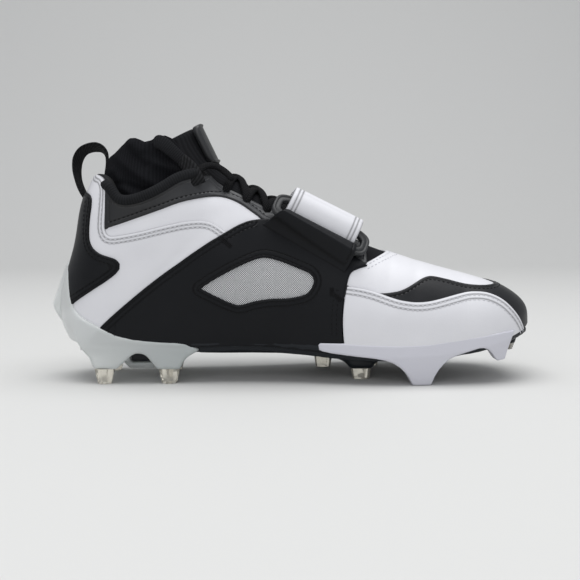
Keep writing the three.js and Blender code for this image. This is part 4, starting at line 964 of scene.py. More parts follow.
# start x, start z, end x, end z, half width and rise in mm of each fold, in the side view
SOCK_FOLDS = [
    (33, 138, 62, 118, 3.0, 1.9), (44, 146, 74, 124, 3.2, 1.7), (30, 130, 48, 112, 2.6, 1.5),
    (37, 146, 52, 133, 2.0, -1.3), (52, 140, 72, 131, 2.4, -1.2), (38, 122, 56, 116, 2.0, -1.4),
    (58, 134, 80, 128, 2.6, 1.3), (28, 138, 33, 122, 2.2, -1.2),
]


def squared(values, power):
    """Sign and size of a cosine or sine apart: the size goes to a power, which squares a circle."""
    return np.sign(values) * np.abs(values) ** power


def bell_folds(x, z, folds):
    """Sum of rise * exp(-(distance to the fold's line / half width)**2)."""
    height = np.zeros_like(x)
    for x0, z0, x1, z1, width, rise in folds:
        run = np.array([x1 - x0, z1 - z0], float)
        t = np.clip(((x - x0) * run[0] + (z - z0) * run[1]) / (run @ run), 0, 1)
        off = np.hypot(x - x0 - t * run[0], z - z0 - t * run[1])
        height = height + rise * np.exp(-((off / width) ** 2))
    return height


def sock_surface(turn, share, inward):
    """An oval tube: x = middle - half length * cos(turn), y = half width * sin(turn), with z from the
    sock's bottom to the rim. It narrows towards the rim and bulges by its folds."""
    flat_x = SOCK_MIDDLE - SOCK_HALF_LENGTH * np.cos(turn)
    rim = np.interp(flat_x + 2.0 * (1 - share), *SOCK_RIM.T)
    z = SOCK_BOTTOM + (rim - SOCK_BOTTOM) * share
    high = np.clip((z - 118) / 34, 0, 1)
    narrow = 1 - 0.14 * high
    slack = bell_folds(flat_x, z, SOCK_FOLDS) * np.clip(share * 6, 0, 1)
    half_long = SOCK_HALF_LENGTH * (1 - 0.05 * high) + slack * 0.4 - inward
    half_wide = SOCK_HALF_WIDTH * narrow + slack - inward
    roundness = 2 / 2.3
    x = SOCK_MIDDLE - half_long * squared(np.cos(turn), roundness)
    y = half_wide * squared(np.sin(turn), roundness)
    lean = 3.0 * np.clip((z - 112) / 30, 0, 1) * np.clip((SOCK_MIDDLE - x) / 30, 0, 1)
    return to_frame(np.stack([x + lean, y, z], -1))


SOCK_KNIT = knit("sock_knit")
sock_turn = np.linspace(0, 2 * math.pi, 190, endpoint=False)[None]
sock_share = np.linspace(0, 1, 54)[:, None]
rolled = 1.1 * np.clip((sock_share - 0.93) / 0.07, 0, 1) ** 2
sock = closed_strip(
    "sock_knit", sock_surface(sock_turn, sock_share, rolled),
    sock_surface(sock_turn, sock_share, 2.0 - rolled * 0.6),
    sock_turn * SOCK_RADIUS * MM, sock_share * SOCK_TALL * MM, wrap=True,
)
dress(sock, SOCK_KNIT, "black_knit", "sock_collar")


# Collar roll. A padded tube of ribbed knit that lines the collar's edge, from the lace keepers round
# the ankle and over the back of the heel. Its ribs run across it, 1.5 mm apart. 6 mm thick.
def tube(name, centre, out, wide, thick, around):
    """An oval tube along a path: centre + cos(turn) * side * wide + sin(turn) * out * thick, where
    side is square to the path and to out. Its ends close in a dome. Sizes in mm."""
    along = directions(centre)
    out = out - along * (out * along).sum(1, keepdims=True)
    out /= np.linalg.norm(out, axis=1, keepdims=True)
    side = np.cross(along, out)
    run = distances_along(centre)
    end = np.minimum(run, run[-1] - run)
    wide, thick = wide * np.ones_like(run), thick * np.ones_like(run)
    dome = np.sqrt(1 - np.clip(1 - end / wide, 0, 1) ** 2)
    turn = np.arange(around) * 2 * math.pi / around
    points = (centre[:, None]
              + side[:, None] * np.cos(turn)[None, :, None] * (wide * dome)[:, None, None]
              + out[:, None] * np.sin(turn)[None, :, None] * (thick * dome)[:, None, None])
    rows = len(centre)
    made = mesh_object(name, to_frame(points.reshape(-1, 3)), grid_faces(rows, around, wrap=True))
    for key, values in (("over", run[:, None]), ("along", turn[None] * wide.mean())):
        point_values(made, key, np.broadcast_to(values, (rows, around)).ravel() * MM)
    outwards(made)
    return made


ROLL_LINE = smooth_line([
    (17.8, 121.6), (22.0, 121.8), (26.6, 121.4), (30.6, 119.6), (33.4, 116.6), (36.2, 113.0),
    (40.4, 111.6), (46.5, 112.4), (55.0, 115.5), (63.5, 120.0), (71.5, 125.0), (79.5, 127.6),
    (83.5, 127.8),
], 10)
roll_paths = []
for side in (-1, 1):
    u, a = lift(side, ROLL_LINE)
    u[0], u[1] = 0.0, u[2] * 0.5
    rows = np.stack([np.full(len(u), float(side)), u, a], 1)
    roll_paths.append((last_point(*rows.T), last_normal(*rows.T)))
(medial_at, medial_out), (lateral_at, lateral_out) = roll_paths
roll_at = np.vstack([medial_at[::-1], lateral_at[1:]])
roll_out = np.vstack([medial_out[::-1], lateral_out[1:]])
smooth_by = np.ones(7) / 7
roll_at[3:-3] = np.stack([np.convolve(roll_at[:, k], smooth_by, "valid") for k in range(3)], 1)
COLLAR_KNIT = knit("collar_knit", rib_pitch=0.0015, depth=0.0002, color=(0.015, 0.0155, 0.017),
                   worn=(0.026, 0.027, 0.029))
roll_rise = np.interp(roll_at[:, 0], [22, 31], [-4.0, 1.5])[:, None]
roll = tube("collar_tube", roll_at + roll_out * roll_rise, roll_out, 3.1, 2.9, 24)
dress(roll, COLLAR_KNIT, "black_knit", "collar_roll_medial", "collar_roll_lateral")

# Cuff bands. The folded edge of the sock, 10 mm wide at its peak and 6 mm at the front, that runs
# down each side of the tongue to the lace keeper.
CUFF_KNIT = knit("cuff_knit", rib_pitch=0.0013, depth=0.00025, color=(0.017, 0.0175, 0.019))
CUFF_CENTRE = smooth_line([(56.2, 147.4), (61.5, 146.8), (67.5, 142.4), (74.0, 136.4), (80.0, 131.0),
                           (85.0, 126.8)], 10)
for side, word in ((-1, "medial"), (1, "lateral")):
    share = np.linspace(0, 1, len(CUFF_CENTRE))
    y = side * (24.3 - 0.8 * share + 1.2 * np.sin(share * math.pi))
    centre = np.stack([CUFF_CENTRE[:, 0], y, CUFF_CENTRE[:, 1]], 1)
    out = np.stack([0.15 + share * 0, side * np.ones_like(share), 0.2 + share * 0], 1)
    cuff = tube(f"cuff_knit_{word}", centre, out, 4.9 - 1.9 * share, 1.7, 20)
    dress(cuff, CUFF_KNIT, "black_knit", f"cuff_band_{word}")

# Pull loop. Black webbing sewn in at the top of the heel, 15 mm wide and 1.7 mm thick. It rises in a
# teardrop behind the heel and comes back down inside the collar.
LOOP_PATH = smooth_line([
    (15.5, 108.0), (12.2, 113.2), (9.2, 118.6), (7.2, 124.5), (6.3, 131.0), (7.0, 137.5),
    (9.8, 142.3), (14.0, 144.6), (18.8, 145.2), (22.6, 143.8), (25.0, 140.2), (25.2, 134.0),
    (24.6, 127.0), (24.4, 118.0),
], 8)
WEBBING = Finish("webbing", Roughness=0.85, Specular_IOR_Level=0.12)
web_over, web_along = WEBBING.attribute("over"), WEBBING.attribute("along")
web_bars = weave_wave(web_along + web_over * 0.6, 0.0021)
web_bars = web_bars * (weave_wave(web_over, 0.0026) * 0.4 + 0.6)
# Painted shade: the webbing's colour is darker in the hollows between its woven bars and paler on
# them.
WEBBING.set("Base Color", WEBBING.mix(web_bars, (0.006, 0.006, 0.0065, 1),
                                      (0.02, 0.0205, 0.022, 1)))
WEBBING.bump((web_bars, 0.8, 0.00025))


def ribbon(name, path, half_width, thickness, twist):
    """A flat band whose middle runs along a side view path at y = 0, with rounded edges. Its far
    edge stands out by twist mm and its near edge stands in by as much, which shows its face."""
    step = directions(path)
    out = np.stack([-step[:, 1], step[:, 0]], 1)
    w = np.linspace(-1, 1, 14)
    edge = thickness / 2 * np.sqrt(np.clip(1 - np.abs(w) ** 8, 0, 1)) + 0.05

    def layer(sign):
        flat = path[:, None] + ((edge * sign)[None] + np.outer(twist, -w))[..., None] * out[:, None]
        y = half_width * w[None] * np.ones((len(path), 1))
        return to_frame(np.stack([flat[..., 0], y, flat[..., 1]], -1))

    return closed_strip(name, layer(1), layer(-1), (w[None] + 1) * half_width * MM,
                        distances_along(path)[:, None] * MM)


loop_twist = np.interp(np.arange(len(LOOP_PATH)), [0, 24, 40, 64, 84, 104],
                       [0.4, 0.7, 2.0, 2.5, 1.2, 0.2])
loop = ribbon("loop_webbing", LOOP_PATH, 7.5, 1.7, loop_twist)
dress(loop, WEBBING, "black_knit", "pull_loop")

# Tongue. Padded black knit, 7 mm thick, that lies in the throat under the laces and stands up in
# front of the sock. It is bowed across, so its edges sweep back round the ankle.
TONGUE_KNIT = knit("tongue_knit", rib_pitch=0.0014, depth=0.0002, color=(0.013, 0.0132, 0.0145))
# x, z of the middle's front face, backward sweep at the edges, half width, in mm
TONGUE_ROWS = np.array([
    (190, 80.0, 3.0, 9.0), (170, 90.4, 4.0, 12.0), (150, 100.6, 5.0, 14.5), (131, 110.0, 6.0, 17.0),
    (116, 119.2, 7.0, 19.0), (106, 126.4, 9.0, 20.0), (98.0, 133.0, 12.0, 20.0),
    (92.5, 141.0, 15.0, 19.5), (87.5, 149.9, 16.5, 18.5), (82.4, 158.6, 14.5, 16.5),
])


def bowed_slab(name, rows, thickness):
    """A padded slab along a side view line, bowed across by sweep * w**2, where w runs -1 to 1.
    Its half thickness falls to the edges as (1 - w**4)**0.5, and to its top end in a half round."""
    middle = smooth_line(rows[:, :2], 9)
    sweep, half = (smooth_line(rows[:, [0, k]], 9)[:, 1] for k in (2, 3))
    step = directions(middle)
    out = np.stack([step[:, 1], -step[:, 0]], 1)
    w = np.linspace(-1, 1, 41)
    fall = np.sqrt(np.clip(1 - w**4, 0, 1))
    run = distances_along(middle)
    close = np.sqrt(np.clip(1 - np.clip(1 - (run[-1] - run) / (thickness / 2), 0, 1) ** 2, 0, 1))

    def layer(sign):
        depth = -sweep[:, None] * w**2 - thickness / 2 + sign * thickness / 2 * fall * close[:, None]
        flat = middle[:, None] + out[:, None] * depth[..., None]
        y = -4.0 * np.clip((middle[:, 0] - 84) / 60, 0, 1)[:, None] + half[:, None] * w
        return to_frame(np.stack([flat[..., 0], y, flat[..., 1]], -1))

    return closed_strip(name, layer(1), layer(-1), (w[None] + 1) * 17 * MM, run[:, None] * MM)


tongue = bowed_slab("tongue_pad", TONGUE_ROWS, 7.0)
dress(tongue, TONGUE_KNIT, "black_knit", "tongue")

# Gusset. A patch of black knit that closes the throat's front end between the vamp and the tongue.
gusset_outline = np.array([(176, 64), (176, FAR), (216, FAR), (216, 68), (200, 64)])
gusset = panel("throat_gusset", [gusset_outline], thickness=1.0, base=-0.75, spacing=2.0)
dress(gusset, TONGUE_KNIT, "black_knit")

# Tongue label. A moulded slab of dark grey rubber, 27 mm wide and 3 mm thick, with a rim 0.9 mm high
# round a bare face. It is stitched to the front of the tongue's top.
LABEL_GREY = Finish("label_rubber", Base_Color=(0.017, 0.0175, 0.019, 1), Roughness=0.42)
LABEL_GREY.bump((LABEL_GREY.noise(900, 2), 0.25, 0.0001))
LABEL_HALF = 13.6
label_line = np.array([(96.9, 136.0), (85.2, 160.2)])
label_long = np.linalg.norm(label_line[1] - label_line[0])
label_step = (label_line[1] - label_line[0]) / label_long
label_out = np.array([label_step[1], -label_step[0]])
v, w = np.meshgrid(np.linspace(-1, 1, 41), np.linspace(-1, 1, 33), indexing="ij")
corner = 0.10 * np.abs(v) ** 6
label_w = w * LABEL_HALF * (1 - corner)
label_v = (v * (1 - 0.08 * np.abs(w) ** 6) + 1) / 2 * label_long
rim = np.clip((np.maximum(np.abs(v), np.abs(w)) - 0.86) / 0.05, 0, 1)
round_off = np.sqrt(np.clip(1 - np.maximum(np.abs(v), np.abs(w)) ** 30, 0, 1))
bow = -3.6 * (label_w / LABEL_HALF) ** 2


def label_layer(depth):
    flat = label_line[0] + label_v[..., None] * label_step + (bow + depth)[..., None] * label_out
    return to_frame(np.stack([flat[..., 0], label_w, flat[..., 1]], -1))


label = closed_strip("tongue_slab", label_layer(0.9 * rim * round_off - 0.3),
                     label_layer(-3.4 + 0 * rim), label_w * MM, label_v * MM)
dress(label, LABEL_GREY, "grey_leather", "tongue_label")

# Laces. Black cord, 5 mm wide and 3.6 mm thick as it lies, crossing over the tongue between six rows
# of eyelets. Each strand dives into its eyelet. One strand comes down from the keeper on each cuff.
LACE = Finish("lace_cord", Roughness=0.88, Specular_IOR_Level=0.1)
lace_over, lace_along = LACE.attribute("over"), LACE.attribute("along")
lace_weave = weave_wave(lace_over + lace_along * 0.9, 0.0016)
lace_weave = lace_weave * weave_wave(lace_over - lace_along * 0.9, 0.0016)
# Painted shade: the cord's colour is darker in the hollows of its weave and paler on the strands.
LACE.set("Base Color", LACE.mix(lace_weave, (0.005, 0.005, 0.0055, 1), (0.019, 0.0195, 0.021, 1)))
LACE.bump((lace_weave, 0.8, 0.0003))
LACE_TOP, LACE_PITCH, LACE_CROSSINGS = 100.6, 12.6, 5


def on_instep(x, y, height):
    """Points of the last's upper surface at lengths x and distances y from the middle plane, moved
    out by a height along the normal. The angle is found by halving."""
    side = np.where(y < -section(RIDGE, x) * BALL_WIDTH, -1.0, 1.0)
    u = 1 + (x - HEEL_PIVOT) / (TOE_PIVOT - HEEL_PIVOT)
    low, high = np.full_like(x, 15.0), np.full_like(x, 90.0)
    for _ in range(30):
        middle = (low + high) / 2
        past = (last_point(side, u, middle)[:, 1] - y) * side > 0
        low, high = np.where(past, middle, low), np.where(past, high, middle)
    return last_point(side, u, high) + last_normal(side, u, np.minimum(high, 89.9)) * height[:, None]


lace_parts = []
for row in range(LACE_CROSSINGS):
    for sign in (-1, 1):
        share = np.array([-0.06, 0.0, 0.05, 0.14, 0.3, 0.5, 0.7, 0.86, 0.95, 1.0, 1.06])
        x = LACE_TOP + LACE_PITCH * (row + share)
        middle = -section(RIDGE, x) * BALL_WIDTH
        ahead = (x - THROAT_REAR) / (THROAT_FRONT - THROAT_REAR)
        reach = THROAT_REAR_HALF + (THROAT_FRONT_HALF - THROAT_REAR_HALF) * ahead + 2.0
        y = middle + sign * reach * (1 - 2 * share)
        cross = 1.3 - 0.2 * row + (0.8 if sign > 0 else -0.8) * np.sin(share * math.pi)
        height = np.where((share < -0.01) | (share > 1.01), -3.5,
                          np.where((share < 0.01) | (share > 0.99), 1.0, cross + 1.3))
        rough = on_instep(x, y, height)
        path = np.stack([smooth_line(np.stack([np.arange(11), rough[:, k]], 1), 5)[:, 1]
                         for k in range(3)], 1)
        up = np.stack([path[:, 0] * 0 + 0.45, (path[:, 1] + 4) * 0.03, path[:, 0] * 0 + 0.9], 1)
        lace_parts.append((path, up))
top_strand = smooth_line([(81.5, 124.5), (84.5, 129.5), (88.5, 132.6), (93.5, 132.8), (98.2, 130.8),
                          (102.8, 127.0), (105.5, 123.5)], 6)
for sign in (-1, 1):
    share = np.linspace(0, 1, len(top_strand))
    y = sign * (29.0 - 4.5 * share - 7 * np.sin(share * math.pi) ** 2) - 2 * share
    lace_parts.append((np.stack([top_strand[:, 0], y, top_strand[:, 1]], 1),
                       np.tile([0.3, sign * 0.5, 0.8], (len(share), 1))))
for number, (path, up) in enumerate(lace_parts):
    strand = tube(f"lace_strand_{number}", path, up, 2.5, 1.8, 16)
    dress(strand, LACE, "black_knit", "lace_crossings")

# Lace keepers. A squared end of black webbing on each cuff band, 9 mm wide, that the lace goes
# through. It hangs over the collar roll and the top of the eyestay.
KEEPER_PATH = smooth_line([(73.5, 137.0), (77.0, 133.6), (80.4, 129.4), (83.0, 125.0),
                           (84.6, 121.0)], 8)
for side, word in ((-1, "medial"), (1, "lateral")):
    step = directions(KEEPER_PATH)
    across = np.stack([-step[:, 1], step[:, 0]], 1)
    w = np.linspace(-1, 1, 15)
    share = np.linspace(0, 1, len(KEEPER_PATH))
    half = 3.7 + 1.0 * np.clip(share * 2.5, 0, 1)
    depth = np.interp(share, [0, 0.3, 0.6, 0.85, 1], [25.2, 27.0, 30.2, 31.2, 30.6])
    edge = 1.0 * np.sqrt(np.clip(1 - np.abs(w) ** 8, 0, 1)) + 0.05

    def keeper_layer(sign):
        flat = KEEPER_PATH[:, None] + across[:, None] * (half[:, None] * w)[..., None]
        y = side * (depth[:, None] + sign * edge[None] + 0.4 * (1 - w**2)[None])
        return to_frame(np.stack([flat[..., 0], y, flat[..., 1]], -1))

    keeper = closed_strip(f"keeper_{word}", keeper_layer(1), keeper_layer(-1),
                          (w[None] + 1) * 4.5 * MM, share[:, None] * 18 * MM)
    dress(keeper, WEBBING, "black_knit", f"lace_keeper_{word}")

# Sole. Three moulded pieces. The heel plate is milky clear, with a fin, a wall round the heel, two
# studs a side and a rib round a black block. The forefoot plate is glossy blue black. The white rail
# along its medial edge runs down into two studs, the larger one 11 mm long at the floor.
def foot_half(side, x):
    """Distance of the last's bottom edge from the middle plane at length x, at heel and toe too."""
    x = np.asarray(x, float)
    heel = np.clip((HEEL_PIVOT - x) / HEEL_PIVOT, 0, 1) ** (HEEL_POWER / 2)
    toe = np.clip((x - TOE_PIVOT) / (LAST_LENGTH - TOE_PIVOT), 0, 1) ** (TOE_POWER / 2)
    column = MEDIAL if side < 0 else LATERAL
    half = section(column, np.clip(x, HEEL_PIVOT, TOE_PIVOT)) * BALL_WIDTH
    behind = half * (1 - heel**2) ** (1 / HEEL_POWER)
    ahead = -side * TOE_SIDE_SHIFT + (half + side * TOE_SIDE_SHIFT) * (1 - toe**2) ** (1 / TOE_POWER)
    return np.where(x < HEEL_PIVOT, behind, np.where(x > TOE_PIVOT, ahead, half))


def foot_height(x):
    return section(BOTTOM, x) * SOLE_HEIGHT + TOE_TIP_RISE * np.clip(
        (np.asarray(x) - TOE_PIVOT) / TOE_RADIUS, 0, 1) ** 1.3


def skirt_face(side, grow, taper):
    """y of a wall that follows the foot's edge: it swells above the edge with the last and leans in
    by taper mm per mm below it."""
    def face(x, z):
        low = foot_height(x)
        rise = np.clip((z - low) / 110, 0, 1)
        bulge = section(ARCH if side < 0 else OUTSIDE, x) * BALL_WIDTH * 4 * rise * (1 - rise)
        return side * (foot_half(side, x) + bulge + grow - taper * np.clip(low - z, 0, None))
    return face


def plank(outline, face, thickness, inwards, spacing=1.2, edge=1.4):
    """Points and triangles of a body whose side view is an outline. Its outer face lies at
    y = face(x, z), its inner face is thickness further in, and both rims are rounded by edge."""
    low, high = outline.min(0) - 2, outline.max(0) + 2
    xs, zs = np.arange(low[0], high[0], spacing), np.arange(low[1], high[1], spacing)
    quads = grid_faces(len(zs), len(xs))
    places = np.stack([v.ravel() for v in np.meshgrid(xs, zs)], 1)
    triangles = np.vstack([quads[:, [0, 1, 2]], quads[:, [0, 2, 3]]])
    values = inside_distance(places, outline)[0]
    triangles = triangles[(values[triangles] > -3 * spacing).any(1)]
    for level in (0.0, 0.3 * edge, edge):
        places, triangles, values = split(places, triangles, values, level)
    triangles = triangles[values[triangles].mean(1) > 0]
    used, back = np.unique(triangles, return_inverse=True)
    places, values, triangles = places[used], values[used], back.reshape(-1, 3)
    t = np.clip(values / edge, 0, 1)
    fall = edge * (1 - np.sqrt(1 - (1 - t) ** 2))
    outer = face(places[:, 0], places[:, 1])
    deep = thickness(places[:, 0], places[:, 1]) if callable(thickness) else thickness
    sheets = [np.stack([places[:, 0], y, places[:, 1]], 1)
              for y in (outer + inwards * fall, outer + inwards * (deep - fall))]
    edges = np.sort(np.vstack([triangles[:, [0, 1]], triangles[:, [1, 2]], triangles[:, [2, 0]]]), 1)
    rims, count = np.unique(edges, axis=0, return_counts=True)
    a, b = rims[count == 1].T
    walls = np.vstack([np.stack([a, b, b + len(places)], 1),
                       np.stack([a, b + len(places), a + len(places)], 1)])
    return np.vstack(sheets), np.vstack([triangles, triangles[:, ::-1] + len(places), walls])


def floor_slab(first_x, last_x, top, bottom):
    """A plate between the foot's two bottom edges, from one length to another."""
    x = np.linspace(first_x, last_x, 40)[:, None]
    share = np.linspace(0, 1, 13)[None]
    medial, lateral = -foot_half(-1, x), foot_half(1, x)
    y = medial + (lateral - medial) * share
    z = foot_height(x) + y * 0
    x = x + y * 0
    count = x.size
    quads = grid_faces(*x.shape)
    index = np.arange(count).reshape(x.shape)
    rim = np.concatenate([index[0], index[1:, -1], index[-1, -2::-1], index[-2:0:-1, 0]])
    after = np.roll(rim, -1)
    faces = np.vstack([quads, quads[:, ::-1] + count,
                       np.stack([rim, rim + count, after + count, after], 1)])
    triangles = np.vstack([faces[:, [0, 1, 2]], faces[:, [0, 2, 3]]])
    layers = [np.stack([x, y, z + move], -1).reshape(-1, 3) for move in (top, bottom)]
    return np.vstack(layers), triangles


def stud_loft(x, y, outline, rings):
    """A closed body at (x, y): an outline of unit size, drawn at each ring's z, length and width,
    with a fan of triangles over each end."""
    z, length, width = np.array(rings, float).T[:, :, None]
    along, across = outline.T
    points = np.stack([x + along * length, y + across * width, z + 0 * along], -1)
    quads = grid_faces(len(rings), len(outline), wrap=True)
    k = np.arange(1, len(outline) - 1)
    fan = np.stack([0 * k, k + 1, k], 1)
    top = (len(rings) - 1) * len(outline) + fan[:, [0, 2, 1]]
    return points.reshape(-1, 3), np.vstack([quads[:, [0, 1, 2]], quads[:, [0, 2, 3]], fan, top])


def fused(name, parts, wall, voxel, smoothing):
    """One skin round several closed bodies and a wall that lies on the last: joined, remeshed on a
    voxel grid and smoothed."""
    places, corners = np.empty(len(wall.data.vertices) * 3), np.empty(len(wall.data.loops), int)
    wall.data.vertices.foreach_get("co", places)
    wall.data.loops.foreach_get("vertex_index", corners)
    bpy.data.objects.remove(wall)
    bodies = [(to_frame(points), triangles) for points, triangles in parts]
    bodies.append((places.reshape(-1, 3), corners.reshape(-1, 3)))
    starts = np.cumsum([0] + [len(points) for points, _ in bodies])
    rough = mesh_object(
        name + "_rough", np.vstack([points for points, _ in bodies]),
        np.vstack([triangles + start for (_, triangles), start in zip(bodies, starts)]))
    outwards(rough)
    remesh = rough.modifiers.new("remesh", "REMESH")
    remesh.mode, remesh.voxel_size = "VOXEL", voxel * MM
    smooth = rough.modifiers.new("smooth", "SMOOTH")
    smooth.factor, smooth.iterations = 0.5, smoothing
    bpy.context.view_layer.update()
    shaped = rough.evaluated_get(bpy.context.evaluated_depsgraph_get())
    mesh = bpy.data.meshes.new_from_object(shaped)
    bpy.data.objects.remove(rough)
    mesh.name = name
    mesh.polygons.foreach_set("use_smooth", [True] * len(mesh.polygons))
    made = bpy.data.objects.new(name, mesh)
    bpy.context.scene.collection.objects.link(made)
    return made


HEEL_SKIRT = np.array([
    (9, 43), (12, 41.6), (18.5, 38.3), (25.1, 35), (35, 30.5), (44.9, 28), (58.2, 26.6), (71.5, 25.8),
    (78.1, 24.8), (82.5, 22.8), (85.8, 20.9), (81.0, 18.4), (77.6, 16.2), (75.4, 13.6), (73.6, 9),
    (59.4, 9), (57.4, 11.6), (55.3, 14.4), (53.2, 17.0), (51.0, 18.5), (47.2, 18.9), (44.6, 18.0),
    (41.6, 15.4), (38.3, 12.3), (34.6, 9), (20.9, 9), (19.6, 12), (18.3, 16), (14, 20), (9, 27),
])
FIN = np.array([
    (2.4, 73.4), (0.3, 72.6), (-1.8, 66.6), (-4.2, 59.4), (-6.9, 51.8), (-8.6, 46.0), (-7.0, 41.4),
    (-3.6, 36.2), (1.0, 30.4), (6.0, 24.6), (10.4, 20.4), (14.5, 16.4), (18, 13.5), (24, 16),
    (22, 26), (12, 36), (6, 48), (4, 62),
])
HEEL_WALL = np.array([
    (-60, 74), (0.4, 74), (4.4, 66), (7.4, 54), (9.6, 45.6), (14, 41.3), (18.5, 38.6), (25.1, 35.3),
    (35, 30.8), (44.9, 28.3), (58.2, 26.9), (71.5, 26.1), (78.1, 25.1), (84, 22), (84, -FAR),
    (-60, -FAR),
])
CLEAR = Finish("milky_plate", Base_Color=(0.60, 0.645, 0.64, 1), Roughness=0.28,
               Transmission_Weight=0.35, IOR=1.36, Coat_Weight=0.25, Coat_Roughness=0.12)
cloud = CLEAR.noise(38, 3)
pale = CLEAR.mix(((CLEAR.along_x() + 0.138) / 0.07).clamped(), (0.88, 0.90, 0.89, 1),
                 (0.57, 0.615, 0.615, 1))
CLEAR.set("Base Color", CLEAR.mix(cloud * 0.5, pale, (0.76, 0.79, 0.78, 1)))
CLEAR.bump((CLEAR.noise(120, 2), 0.15, 0.0003))
heel_wall = panel("heel_wall", [HEEL_WALL], thickness=2.9, base=0.3, edge=1.6, spacing=1.6, back=-0.6)
HEEL_RIB = np.array([
    (33, 21), (36, 10), (40, 5.8), (62, 5.8), (66, 10), (69, 21), (63, 21), (61, 10), (41, 10),
    (39, 21),
])


def upright(outline, width, **sizes):
    """A plank of this width that stands in the middle plane."""
    return plank(outline, lambda x, z: -width / 2 + 0 * x, width, 1, **sizes)


heel_parts = [plank(HEEL_SKIRT, skirt_face(side, 2.9, 0.2), 9.0, -side) for side in (-1, 1)]
heel_parts += [upright(FIN, 6.0, edge=1.8), floor_slab(12, 82, 1.5, -2.9),
               upright(HEEL_RIB, 12.0, edge=1.0)]
heel = fused("heel_plate_body", heel_parts, heel_wall, 0.85, 5)
dress(heel, CLEAR, "clear_plate", "heel_plate")

FORE_WALL = np.array([
    (78, 27), (100, 26.8), (130, 26.6), (157, 26), (171, 25.6), (184, 25), (203, 24.6), (222, 25.3),
    (237, 27.6), (256, 29.6), (271, 30.4), (282, 30.4), (300, 32), (320, 32), (320, -FAR), (78, -FAR),
])
CHASSIS = np.array([
    (80, 24), (84, 17.0), (97.5, 16.8), (115.7, 17.0), (134, 16.8), (146.5, 15.8), (156.3, 14.8),
    (168, 13.6), (172.6, 12.4), (175.6, 10.2), (177.9, 7.2), (191.2, 7.2), (192.8, 9.6), (195, 11.8),
    (199, 11.6), (205, 10.6), (208, 15), (222, 21.5), (245, 26), (262, 29.5), (276, 32), (276, 36),
    (245, 30), (222, 26), (180, 23), (130, 25),
])
FORE_BLACK = Finish("forefoot_moulding", Base_Color=(0.008, 0.0102, 0.0135, 1), Roughness=0.3,
                    Specular_IOR_Level=0.25)
FORE_BLACK.bump((FORE_BLACK.noise(300, 2), 0.15, 0.0002))
fore_wall = panel("fore_wall", [FORE_WALL], thickness=2.5, base=0.3, edge=1.2, spacing=1.7, back=-0.6)
fore_parts = [floor_slab(80, 288, 1.5, -2.9),
              plank(CHASSIS, lambda x, z: -24 + 0.012 * np.abs(x - 190) ** 1.3, 15.0, 1, edge=2.5)]
# x, y, tip's lower end, its upper end at the black neck, and its length at both, in mm, of each stud
FORE_STUDS = [
    ("inner_medial", 185.1, -14.7, 0.0, 6.8, 10.2, 13.2),
    ("rear_lateral", 165.0, 32.2, 0.0, 8.7, 9.8, 12.4),
    ("middle_lateral", 197.1, 35.9, 0.0, 8.7, 9.8, 12.4),
    ("edge_lateral", 230.1, 33.1, 1.4, 9.7, 9.8, 12.2),
    ("front_lateral", 261.3, 20.7, 11.4, 17.2, 9.3, 11.2),
    ("toe", 279.7, -5.5, 16.7, 20.4, 7.2, 9.4),
]
neck_turn = np.arange(24) * math.pi / 12
neck_outline = squared(np.stack([np.cos(neck_turn), np.sin(neck_turn)], 1), 0.45) / 2
for _, x, y, _, neck, _, wide in FORE_STUDS:
    root = float(foot_height(x)) - 1.5
    fore_parts.append(stud_loft(x, y, neck_outline, [
        (neck, wide * 1.02, 11.4), (neck + (root - neck) * 0.4, wide * 1.16, 12.2),
        (neck + (root - neck) * 0.75, wide * 1.5, 13.6), (root + 2, wide * 2.0, 16.0),
    ]))
fore = fused("forefoot_plate_body", fore_parts, fore_wall, 1.25, 3)
dress(fore, FORE_BLACK, "black_plate", "forefoot_plate")
inlay_line = np.array([(39.4, 20), (41.6, 10.3), (60.4, 10.3), (62.6, 20)])
inlay_points, inlay_triangles = upright(inlay_line, 10.0, spacing=2.0, edge=0.4)
inlay = mesh_object("heel_inlay", to_frame(inlay_points), inlay_triangles)
outwards(inlay)
dress(inlay, FORE_BLACK, "black_plate")

RAIL = np.array([
    (157.6, 25.7), (156.7, 24.2), (157.3, 21.4), (159.2, 20.5), (164.6, 19.4), (178.9, 17.8),
    (190.5, 16.7), (197, 15.5), (201.6, 13.8), (205.6, 11.2), (208.8, 8.0), (211.4, 4.4),
    (213.5, 0.4), (214.3, 0), (224.4, 0), (225.2, 0.7), (227.1, 5.8), (229.2, 9.6), (232.0, 13.2),
    (235.4, 16.2),
    (240.0, 18.2), (245, 19.7), (249.6, 21.2), (253.6, 22.4), (256.6, 22.5), (259.6, 21.4),
    (262.2, 18.8), (264.2, 16.0), (266.0, 14.0), (271.2, 14.8), (272.4, 20.0), (274.2, 25.6),
    (276.8, 32.8), (268.6, 32.0), (256, 30.0), (246, 28.9), (236.8, 27.8), (222.3, 25.7), (203, 24.9),
    (183.7, 25.3), (171.3, 25.8),
])
RAIL_WHITE = Finish("rail_moulding", Base_Color=(0.60, 0.60, 0.655, 1), Roughness=0.38,
                    Coat_Weight=0.1, Coat_Roughness=0.2)
RAIL_WHITE.bump((RAIL_WHITE.noise(260, 2), 0.12, 0.0002))
rail_points, rail_triangles = plank(RAIL, skirt_face(-1, 3.8, 0.32), 12.0, 1, spacing=0.9, edge=1.1)
rail = mesh_object("medial_rail_body", to_frame(rail_points), rail_triangles)
outwards(rail)
dress(rail, RAIL_WHITE, "white_plate", "medial_rail", "stud_tip_edge_medial", "stud_tip_front_medial")

